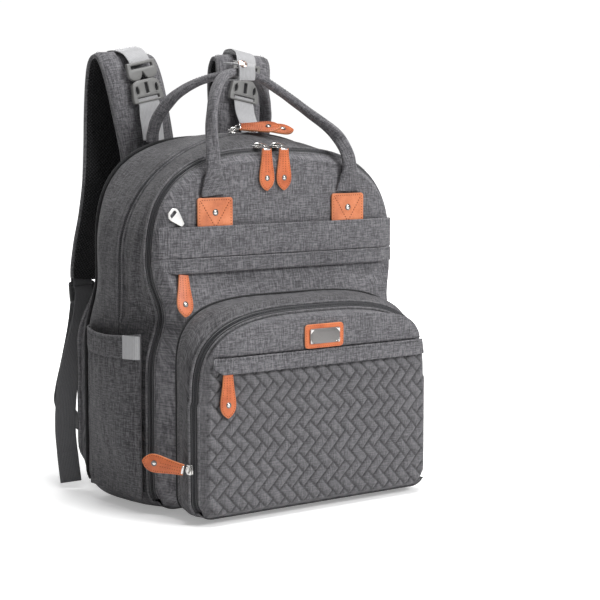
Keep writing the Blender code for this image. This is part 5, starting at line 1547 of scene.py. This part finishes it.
# badge: leather patch with a blank nickel plate
fr = axes((0, -137.9, 195.5), (1, 0, 0), (0, 0, 1))
leather_piece("badge_leather", [rounded_rect(54, 27, 4.5)], 1.8, fr, "pocket_cover", reps=("badge_patch",), bevel=0.5)
pl = Pile()
q = np.array(rounded_rect(54 - 3.4, 27 - 3.4, 3.5))
stitch_into(pl, place(np.concatenate([q, np.full((len(q), 1), 0.9)], 1), fr), (0, -1, 0), length=2.0, gap=0.9, r=0.42, closed=True, lift=0.0)
Vb, Fb = curve_plate([rounded_rect(42, 17, 1.8)], 1.4, 0.45, 2)
pl.add(place(Vb + np.array([0, 0, 1.6]), fr), Fb, m=3)
Vb, Fb = curve_plate([rounded_rect(37.5, 12.5, 1.2)], 0.5, 0.15, 1)
pl.add(place(Vb + np.array([0, 0, 2.35]), fr), Fb, m=3)
for sx in (-1, 1):
    for sz in (-1, 1):
        cpts = [(sx * 20.6, sz * 8.1), (sx * 20.6, sz * 2.6), (sx * 18.6, sz * 4.6), (sx * 16.8, sz * 6.2), (sx * 14.2, sz * 8.1)]
        cpts = cpts if sx * sz < 0 else cpts[::-1]
        Vc, Fc = curve_plate([round_poly(cpts, 0.5, 2)], 0.8, 0.25, 1)
        pl.add(place(Vc + np.array([0, 0, 2.5]), fr), Fc, m=1)
pl.make("badge_metal", [THREADO, NICK, NICKD, PLATE], "pocket_cover", slot="nickel", replaces=("badge_plate",), sharp=50)

# =================================================================== carry handles
FH = [(-95, -60.9, 352.2, 34, 4), (-96, -61.6, 362, 30, 5.5), (-97, -62.8, 380, 21, 8), (-97, -61.0, 402, 17, 9),
      (-94, -54, 430, 16, 9.5), (-84, -44, 458, 16, 9.5), (-66, -28, 477, 16, 9.5), (-44, -12, 487, 16, 9.5),
      (-20, -3, 490, 16, 9.5), (6, -3, 484, 16, 9.5), (32, -11, 468, 16, 9.5), (60, -28, 444, 17, 9.5),
      (80, -51, 421, 17, 9), (89, -63.2, 400, 17, 9), (93.5, -65, 380, 21, 8), (95, -61.6, 362, 30, 5.5), (95, -60.9, 352.2, 34, 4)]
RH = [(-80, 92.5, 409, 18, 7), (-80, 90, 422, 17, 9), (-77, 82, 440, 16, 9.5), (-66, 66, 462, 16, 9.5),
      (-48, 46, 478, 16, 9.5), (-24, 27, 487, 16, 9.5), (0, 20.5, 489, 16, 9.5), (24, 27, 484, 16, 9.5),
      (48, 46, 470, 16, 9.5), (66, 66, 450, 16, 9.5), (77, 82, 430, 17, 9), (80, 91, 414, 18, 8), (80, 92.5, 409, 18, 7)]


def handle(name, ctrl, body, reps, seed):
    C = spline(ctrl, 10)
    P, Wd, Th = C[:, :3], np.where(C[:, 3] < 24, C[:, 3] * 0.90, C[:, 3]), C[:, 4] * 0.93
    n = len(P)
    tpar = np.linspace(0, 1, n)
    k = smooth((np.abs(2 * tpar - 1) - 0.35) / 0.45)
    side = np.stack([k, -(1 - k) - 0.02, np.zeros(n)], 1)
    m = 26
    a = np.linspace(0, 2 * pi, m, endpoint=False)
    # folded strap: two rolled edges that meet along a sewn centre line on one face
    roll = np.clip((30 - Wd) / 12, 0, 1)[:, None]
    ca, sa = np.cos(a)[None], np.sin(a)[None]
    ex = 0.62
    x = np.sign(ca) * np.abs(ca) ** ex
    y = np.sign(sa) * np.abs(sa) ** 0.75
    crease = 1 - 0.34 * roll * np.exp(-((x) / 0.16) ** 2) * (sa > 0)
    sx = x * (Wd / 2)[:, None]
    sy = y * crease * (Th / 2)[:, None]
    # gathers where the strap is rolled up above the patch
    tw = np.stack([np.full(n, 0.0), np.zeros(n), np.arange(n) * 2.0], 1)
    sec = np.stack([sx * (1 + 0.03 * vn(tw, (1, 1, 9), seed))[:, None], sy * (1 + 0.07 * vn(tw, (1, 1, 7), seed + 1))[:, None]], -1)
    V, F, uv = sweep(P, sec, hint=side)
    make(name, V, F, [FAB], body, uv=uv, slot="heather_fabric", replaces=reps, sharp=60)
    # seam down the middle of the rolled face
    T, S, B = frames(P, False, side)
    pl = Pile()
    mid = P + B * (Th / 2 * (1 - 0.34 * roll[:, 0]))[:, None]
    lo, hi = int(n * 0.06), int(n * 0.94)
    stitch_into(pl, mid[lo:hi], B[lo:hi], length=2.4, gap=1.2, r=0.36, lift=0.1)
    for sg in (-1, 1):
        edge_ = P + S * (sg * Wd * 0.28)[:, None] - B * (Th / 2 * 0.95)[:, None]
        stitch_into(pl, edge_[lo:hi], -B[lo:hi], length=2.4, gap=1.2, r=0.3, lift=0.1)
    pl.make(name + "_stitches", [THREAD], body, slot="heather_fabric")
    return P, S, B


handle("front_handle_cloth", FH, "front_handle", ("front_handle",), 131)
handle("rear_handle_cloth", RH, "rear_handle", ("rear_handle",), 141)

# wrap: padded light-grey strip round the handles, closed by a snap on its front
wrap = np.array([(-18.0, 480.6), (-18.7, 484.0), (-18.9, 490), (-18.7, 495.5), (-17.4, 498.7), (-12, 499.5), (-2, 500.2), (8.0, 500.8), (16.0, 501.1),
                 (16.3, 500.3), (15.6, 499.5), (8.0, 499.0), (-2, 498.3), (-12, 497.5), (-16.0, 496.2), (-16.6, 490), (-16.4, 482.6), (-14, 482.0), (-4, 481.9), (7.0, 481.8), (7.6, 481.0), (7.0, 480.2), (-4, 480.0), (-14, 480.0)])
wrap = resample(wrap, 70, closed=True)
xs = np.linspace(-31, -9, 18)
A = np.array([[(x, y + 0.25 * sin((y + z) * 0.35) * np.sin(pi * (x + 31) / 22), z + 0.3 * np.sin(pi * (x + 31) / 22)) for y, z in wrap] for x in xs])
F, uv = grid(A, closed_u=True)
uv = uv[:, ::-1]
F = [tuple(f) for f in F] + [tuple(range(70)), tuple(range(17 * 70, 18 * 70))]
uv = [tuple(q) for q in uv] + [tuple(p * MM) for p in wrap] * 2
make("handle_wrap_cloth", A.reshape(-1, 3), F, [WLIGHT], "front_handle", uv=uv, slot="light_webbing", replaces=("handle_wrap",), sharp=50)
pl = Pile()
fr = axes((-25.5, -16.6, 499.0), (0.93, 0.0, 0.36), (0.0, 0.72, 0.69))
V, F = ellipsoid((0, 0, 0), (5.2, 5.2, 1.5), fr, 22, 6, half=True)
pl.add(V, F, m=0)
V, F = torus(5.0, 0.6, (fr[0] + fr[1][2] * 0.2, fr[1]), 24, 6)
pl.add(V, F, m=0)
V, F = torus(2.6, 0.35, (fr[0] + fr[1][2] * 1.3, fr[1]), 18, 6)
pl.add(V, F, m=0)
pl.make("handle_wrap_snap", [SNAP], "front_handle", slot="nickel", sharp=50)


# =================================================================== shoulder straps
def strap_ctrl(sgn):
    path = [(65, 126.5, 374, 70, 9), (66, 126.8, 400, 73, 11), (72, 129, 438, 75, 12), (79, 133, 478, 76, 12),
            (84, 140, 502, 76, 12), (86, 150.5, 510, 76, 12), (87, 161, 502, 76, 12), (88, 166.5, 480, 75, 12),
            (90, 168, 440, 74, 12), (92, 167.5, 400, 73, 12), (95, 169, 360, 70, 12),
            (100, 176, 320, 64, 12), (106, 188, 285, 54, 11), (111, 199, 256, 40, 9), (113, 203, 240, 32, 7)]
    return [(sgn * p[0], *p[1:]) for p in path]


for tag, sgn in (("left", -1), ("right", 1)):
    C = spline(strap_ctrl(sgn), 7)
    P = resample(C, 110)
    P, Wd, Th = P[:, :3], P[:, 3], P[:, 4]
    n = len(P)
    nx = 26
    u = np.linspace(-1, 1, nx)
    T, S, B = frames(P, False, (1, 0, 0))
    # B points to the wearer's side or to the outside, depending on the direction; outside is the face the yarns show on
    prof = (1 - np.abs(u) ** 3.2) ** 0.55                       # crowned section that thins at its bound edges
    prof = np.maximum(prof, 0.0)
    A = []
    for k in range(n):
        x = u * Wd[k] / 2 * 0.985
        h = Th[k] / 2 * (0.42 + 0.58 * prof)
        up = P[k] + S[k] * x[:, None] + B[k] * h[:, None]
        dn = P[k] + S[k] * x[::-1][:, None] - B[k] * h[::-1][:, None]
        A.append(np.concatenate([up, dn]))
    A = np.array(A)
    L_ = np.concatenate([[0], np.cumsum(np.linalg.norm(np.diff(P, axis=0), axis=1))])
    U = np.concatenate([u[None] * Wd[:, None] / 2, u[None, ::-1] * Wd[:, None] / 2 + 400, (u[:1] * Wd[:, None] / 2)], 1) * MM
    W = np.repeat(L_[:, None] * MM, 2 * nx + 1, 1)
    F, uv = grid(A, closed_u=True, U=U, W=W)
    m2 = 2 * nx
    # faces: first nx-1 columns on +B side, then the edge, then -B side
    col = np.tile(np.arange(m2), n - 1)
    side_mat = np.where((col >= nx) & (col < m2 - 1), 1, 0)
    F = [tuple(f) for f in F]
    uv = [tuple(q) for q in uv]
    mi = list(side_mat)
    for row in (0, n - 1):
        for j in range(nx - 1):
            F.append((row * m2 + j, row * m2 + j + 1, row * m2 + m2 - 2 - j, row * m2 + m2 - 1 - j))
            uv += [(0, 0), (0.002, 0), (0.002, 0.002), (0, 0.002)]
            mi.append(0)
    # which side faces the wearer: the run behind the crown, outer face, faces away from the bag (+y)
    outside_is_B = B[int(n * 0.62)][1] > 0
    # the mesh lines the inside of the loop, where the shoulder goes
    mats = [FAB, AMESH] if outside_is_B else [AMESH, FAB]
    ob = make("shoulder_strap_pad_" + tag, A.reshape(-1, 3), F, mats, None, uv=uv, midx=mi, slot="heather_fabric")
    pinw = np.zeros((n, m2))
    for j in range(nx):
        pinw[:, j] = pinw[:, m2 - 1 - j] = np.clip((np.abs(u[j]) - 0.88) / 0.1, 0, 1)
    pinw[:3] = pinw[-3:] = 1
    cloth_swell(ob, 12, 3.0, 1.4, pin=pinw.ravel())
    co = np.array([v.co[:] for v in ob.data.vertices]).reshape(n, m2, 3) / MM
    # soft compression wrinkles where the strap turns over its crown, on the fabric face
    crn = np.exp(-((np.linspace(0, 1, n) - 0.30) / 0.10) ** 2)
    wv = crn[:, None] * 0.5 * np.sin(L_[:, None] * 2 * pi / 11 + 1.2 * vn(co, (20, 20, 20), 151)) + 0.3 * vn(co, (22, 22, 30), 152)
    sign = np.concatenate([np.ones(nx), -np.ones(nx)])
    wgt = np.concatenate([prof, prof[::-1]])
    co = co + B[:, None] * (wv * sign[None] * wgt[None])[..., None]
    ob.data.vertices.foreach_set("co", (co * MM).astype(np.float32).ravel())
    ob.data.update()
    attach(ob, "strap_" + tag)
    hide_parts("shoulder_strap_" + tag)
    # bound edges and their stitching
    pl = Pile()
    for sg in (-1, 1):
        edge_ = P + S * (sg * Wd / 2 * 0.985)[:, None]
        V, F2, uv2 = sweep(edge_, flat_section(5.4, 4.6, 3, 2.0), hint=B)
        pl.add(V, F2, uv2, 0)
        for face in (1, -1):
            ln = P + S * (sg * (Wd / 2 - 5.0))[:, None] + B * (face * Th / 2 * 0.90)[:, None]
            stitch_into(pl, ln, B * face, length=2.6, gap=1.3, r=0.36, m=1, lift=0.15)
    pl.make("shoulder_strap_edge_" + tag, [PIPE, THREADD], "strap_" + tag, slot="heather_fabric")

    # ladder lock
    o = axes((sgn * 114.0, 204.5, 223.8), (1, 0, 0), (0, 0.12, 1))
    Vl, Fl = curve_plate([rounded_rect(36, 26, 3.4), rounded_rect(28, 5.4, 1.0, 3, 0, 6.3), rounded_rect(28, 6.4, 1.0, 3, 0, -5.8)], 3.6, 0.9, 2)
    pl = Pile()
    pl.add(place(Vl, o), Fl, m=0)
    for yy in (-11.0, 1.2):
        V, F2, _ = sweep(place(np.array([(-13.5, yy, 1.6), (0, yy, 1.9), (13.5, yy, 1.6)], float), o), circle(0.8, 8))
        pl.add(V, F2, m=0)
    lp_ = spline(np.array([(0, 25, 2.6), (0, 17, 3.0), (0, 13.4, 3.2), (0, 9.6, 2.9), (0, 7.2, 1.6), (0, 6.5, 0), (0, 7.2, -1.6), (0, 9.6, -2.9), (0, 13.4, -3.2), (0, 17, -3.0), (0, 25, -2.6)], float), 5)
    V, F2, uv2 = sweep(place(lp_, o), flat_section(26, 1.3, 8), hint=(1, 0, 0))
    make("ladder_lock_loop_" + tag, V, F2, [WGREY], "strap_" + tag, uv=uv2, slot="grey_webbing", sharp=60)
    pl.make("ladder_lock_plastic_" + tag, [LOCK], "strap_" + tag, slot="grey_plastic", replaces=("ladder_lock_" + tag,), sharp=50)

    # webbing: loose run from the anchor to the lock, and the free tail
    path = [(138, 121.4, 58), (140, 134, 60), (141, 160, 65), (141, 190, 73), (140, 209, 86), (136, 214, 104), (128, 212, 140),
            (120, 210, 180), (115.5, 209.6, 212), (114.5, 209.4, 225), (114.3, 207.2, 229.8), (114.2, 204.5, 230.4),
            (114.3, 201.8, 229.8), (114.5, 199.6, 225), (115.5, 199.4, 212), (121, 197, 185), (136, 189, 148), (153, 176, 108),
            (165, 160, 68), (170, 146, 34), (171, 137, 3.2)]
    W0 = np.array(path, float) * np.array([sgn, 1, 1])
    WP = spline(W0, 8)
    nn_ = len(WP)
    tt_ = np.arange(nn_) / 8.0
    sd = np.stack([np.ones(nn_), sgn * 0.62 * smooth((tt_ - 14) / 5), np.zeros(nn_)], 1)
    V, F2, uv2 = sweep(WP, flat_section(25, 1.7, 8), hint=sd)
    ob = make("strap_webbing_cloth_" + tag, V, F2, [WGREY], None, uv=uv2, slot="grey_webbing", sharp=60)
    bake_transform(ob)
    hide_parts("strap_webbing_" + tag)
    # folded hem at the free end
    He = WP[-10:]
    V, F2, uv2 = sweep(He, flat_section(25.4, 3.4, 6), hint=sd[-10:])
    hm = make("strap_webbing_hem_" + tag, V, F2, [WGREY], None, uv=uv2, slot="grey_webbing", sharp=60)
    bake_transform(hm)

    # stroller buckle and its webbing
    top, low = np.array((sgn * 78.1, 122.9, 504.3)), np.array((sgn * 66.1, 116.4, 444.3))
    t_ = unit(top - low)
    xh = unit(np.array([1.0, 0, 0]) - t_ * t_[0])
    nrm = unit(np.cross(xh, t_))
    mid = np.array((sgn * 72.5, 119.8, 476.0))
    fr = (mid, np.stack([xh, t_, nrm]))
    # socket: shell with side ovals, centre slot and webbing window
    body = round_poly([(-21, -20), (21, -20), (21.5, -14), (18.6, 4), (12, 7.2), (-12, 7.2), (-18.6, 4), (-21.5, -14)], 2.2)
    oval = lambda cx, cy, rx, ry: [(cx + rx * cos(a), cy + ry * sin(a)) for a in np.linspace(0, 2 * pi, 18, endpoint=False)]
    holes = [round_poly([(-2.1, -9.5), (2.1, -9.5), (2.1, 3.2), (-2.1, 3.2)], 0.8), round_poly([(-15, -17.2), (15, -17.2), (15, -13.4), (-15, -13.4)], 0.8),
             oval(-13.6, -4.6, 2.0, 4.6), oval(13.6, -4.6, 2.0, 4.6)]
    Vb, Fb = curve_plate([body] + holes, 6.6, 1.2, 3)
    # crown the shell across its width
    Vb[:, 2] *= 1 - 0.22 * (Vb[:, 0] / 21.5) ** 2
    pl = Pile()
    pl.add(place(Vb, fr), Fb, m=0)
    for cx in (-13.6, 13.6):
        rim = np.array([(cx + 3.1 * cos(a), -4.6 + 5.9 * sin(a), 3.15 * (1 - 0.22 * (cx / 21.5) ** 2)) for a in np.linspace(0, 2 * pi, 24, endpoint=False)])
        V, F2, _ = sweep(place(rim, fr), circle(0.55, 6), closed=True)
        pl.add(V, F2, m=0)
    # near-black block behind the openings: painted shade standing in for the socket's dark interior
    V, F2 = box_local(33, 21, 2.0, 0.5, (mid + t_ * -4.0, fr[1]))
    pl.add(V, F2, m=1)
    pl.make("buckle_socket_plastic_" + tag, [PLA, TAPE], "strap_" + tag, slot="grey_plastic", replaces=("buckle_socket_" + tag,), sharp=40)
    plug = round_poly([(-14.5, 7.5), (-5.8, 7.5), (-2.6, 11.0), (0, 17.0), (2.6, 11.0), (5.8, 7.5), (14.5, 7.5), (19.6, 11), (20.6, 16), (20, 29), (-20, 29), (-20.6, 16), (-19.6, 11)], 1.6)
    Vb, Fb = curve_plate([plug, round_poly([(-15, 21.2), (15, 21.2), (15, 25.2), (-15, 25.2)], 0.8)], 5.0, 1.1, 3)
    pl = Pile()
    pl.add(place(Vb, fr), Fb, m=0)
    pl.make("buckle_plug_plastic_" + tag, [PLA], "buckle_plug_" + tag, slot="grey_plastic", replaces=("buckle_plug_" + tag,), sharp=40)
    up = spline([(sgn * a, b, c) for a, b, c in [(85, 154, 520.4), (84.5, 143.5, 519.8), (81.8, 132.5, 516.2), (79.0, 125.0, 509.0)]], 8)
    ext = spline([(sgn * 87.5, 172.5, 492), (sgn * 87.2, 170.0, 508), (sgn * 86.2, 163.0, 517.5), (sgn * 85, 154, 519.8), (sgn * 84.5, 143.5, 519.4), (sgn * 81.8, 132.5, 515.8), (sgn * 79.2, 125.4, 508.6), (sgn * 77.4, 122.6, 501.5)], 8)
    V, F2, uv2 = sweep(ext[12:], flat_section(29, 1.6, 8), hint=xh)
    ob = make("stroller_webbing_cloth_" + tag, V, F2, [WLIGHT], None, uv=uv2, slot="light_webbing", sharp=60)
    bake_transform(ob)
    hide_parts("stroller_webbing_" + tag)
    low_pts = spline([(sgn * a, b, c) for a, b, c in [(71.0, 118.6, 464.5), (69.8, 117.4, 458.6), (68.8, 115.6, 451.8), (69.4, 113, 441), (70.8, 107, 427), (71.5, 103.5, 414.6), (71.6, 102.6, 410.5)]], 8)
    V, F2, uv2 = sweep(low_pts, flat_section(29, 1.6, 8), hint=xh)
    ob = make("socket_webbing_cloth_" + tag, V, F2, [WLIGHT], None, uv=uv2, slot="light_webbing", sharp=60)
    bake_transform(ob)
    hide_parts("socket_webbing_" + tag)

st_rear.make("rear_stitches", [THREAD], "rear_body", slot="heather_fabric")
st_cover.make("cover_stitches", [THREAD], "front_cover", slot="heather_fabric")

# hinge strips of fabric under the two covers, turned up round their corners as far as the zips' ends
for nm, a, b, y0, y1, outl, zt in (("front_cover_hinge", "front_section", "front_cover", -37.0, -49.0, D_LINE, 13.0), ("pocket_cover_hinge", "front_cover", "pocket_cover", -113.5, -124.0, P_FRONT, 11.5)):
    low = outl[:, 1] < zt
    o_ = np.argsort(outl[low][:, 0])
    both = np.concatenate([inset(outl, 0.45)[low][o_], normals2(outl)[low][o_]], 1)
    both = resample(both, 90)
    pt, nr = both[:, :2], unit(both[:, 2:])
    ys = np.linspace(y0, y1, 9)
    A = np.array([[(p[0], y, p[1]) for y in ys] + [(p[0] - n[0] * 0.9, y, p[1] - n[1] * 0.9) for y in ys[::-1]] for p, n in zip(pt, nr)])
    F, uv = grid(A, closed_u=True)
    F = [tuple(f) for f in F] + [tuple(range(18)), tuple(range(89 * 18, 90 * 18))]
    ob = make(nm, A.reshape(-1, 3), F, [FAB_SHADED], None, uv=list(uv) + [(0, 0)] * 36, slot="side_fabric", sharp=60)
    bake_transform(ob)

# =================================================================== stage, light, camera
def stage_mat():
    m, nt, p = nodes_of("stage_white")
    co = N(nt, "ShaderNodeTexCoord").outputs["Object"]
    n1 = noise(nt, co, 3.0, 2.0)
    L(nt, ramp(nt, n1, [(0.3, (0.93, 0.93, 0.93)), (0.7, (0.95, 0.95, 0.95))]), p.inputs["Base Color"])
    p.inputs["Roughness"].default_value = 0.9
    p.inputs["Specular IOR Level"].default_value = 0.2
    # the paper floor runs out into the white studio: a little glow near, full white far away
    ln = N(nt, "ShaderNodeVectorMath", operation="LENGTH")
    L(nt, co, ln.inputs[0])
    far = mathn(nt, "MULTIPLY", mathn(nt, "SUBTRACT", ln.outputs["Value"], 0.9), 1.1, clamp=True)
    lp = N(nt, "ShaderNodeLightPath")
    g = mathn(nt, "MULTIPLY", mathn(nt, "ADD", mathn(nt, "MULTIPLY", far, 0.9), 0.30), lp.outputs["Is Camera Ray"])
    p.inputs["Emission Color"].default_value = (1, 1, 1, 1)
    L(nt, g, p.inputs["Emission Strength"])
    return m


me = bpy.data.meshes.new("floor")
me.from_pydata([(-9, -9, 0), (9, -9, 0), (9, 9, 0), (-9, 9, 0)], [], [(0, 1, 2, 3)])
me.materials.append(stage_mat())
floor = bpy.data.objects.new("floor", me)
bpy.context.scene.collection.objects.link(floor)

# when a cover swings down past the standing height, the paper floor lies lower
dr = floor.driver_add("location", 2).driver
dr.type = "SCRIPTED"
terms = []
for k, (bd, pt) in enumerate((("front_cover", (0, -116, 2)), ("front_cover", (0, -60, 404)), ("front_section", (0, -38, 0)), ("pocket_cover", (0, -137, 2)), ("pocket_cover", (0, -137, 226)),
                              ("front_handle", (-10, -12, 500)), ("front_pull_left", (-23, -60, 356)), ("pocket_pull", (-130, -138, 112)), ("edge_pull", (-200, -84, 66)), ("front_pull_left", (-23, -64, 356)))):
    e = bpy.data.objects.new("floor_probe_%d" % k, None)
    bpy.context.scene.collection.objects.link(e)
    e.location = tuple(c * MM for c in pt)
    e.hide_render = True
    bpy.context.view_layer.update()
    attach(e, bd)
    v = dr.variables.new()
    v.name = "p%d" % k
    v.type = "TRANSFORMS"
    v.targets[0].id = e
    v.targets[0].transform_type = "LOC_Z"
    v.targets[0].transform_space = "WORLD_SPACE"
    terms.append(v.name)
dr.expression = "min(0, " + ", ".join("%s - 0.004" % t for t in terms) + ")"

sc = bpy.context.scene
w = bpy.data.worlds.new("studio")
sc.world = w
w.use_nodes = True
bg = w.node_tree.nodes["Background"]
bg.inputs["Color"].default_value = (1.0, 1.0, 1.0, 1)
wnt = w.node_tree
wlp = N(wnt, "ShaderNodeLightPath")
L(wnt, mathn(wnt, "ADD", mathn(wnt, "MULTIPLY", wlp.outputs["Is Camera Ray"], 0.79), 0.23), bg.inputs["Strength"])


def area(name, loc, target, size, power, size_y=None):
    li = bpy.data.lights.new(name, "AREA")
    li.energy = power
    li.size = size
    if size_y:
        li.shape = "RECTANGLE"
        li.size_y = size_y
    ob = bpy.data.objects.new(name, li)
    ob.location = loc
    d = Vector(target) - Vector(loc)
    ob.rotation_euler = d.to_track_quat("-Z", "Y").to_euler()
    sc.collection.objects.link(ob)
    return ob


area("key", (0.95, -2.4, 1.8), (0, 0, 0.2), 1.0, 60)
area("top", (0.1, -0.2, 2.6), (0, 0, 0.2), 1.4, 52)
area("back", (0.7, 2.4, 1.5), (0, 0, 0.25), 1.3, 30)

cam = bpy.data.cameras.new("camera")
cam.lens = 103.8
cam.sensor_width = 36.0
cam.clip_end = 60
cob = bpy.data.objects.new("camera", cam)
cob.location = (-1.1729936, -1.66074874, 0.443)
cob.rotation_euler = (radians(90 - 6.17), 0, radians(-36.8))
sc.collection.objects.link(cob)
sc.camera = cob
sc.view_settings.view_transform = "Standard"
sc.view_settings.look = "None"
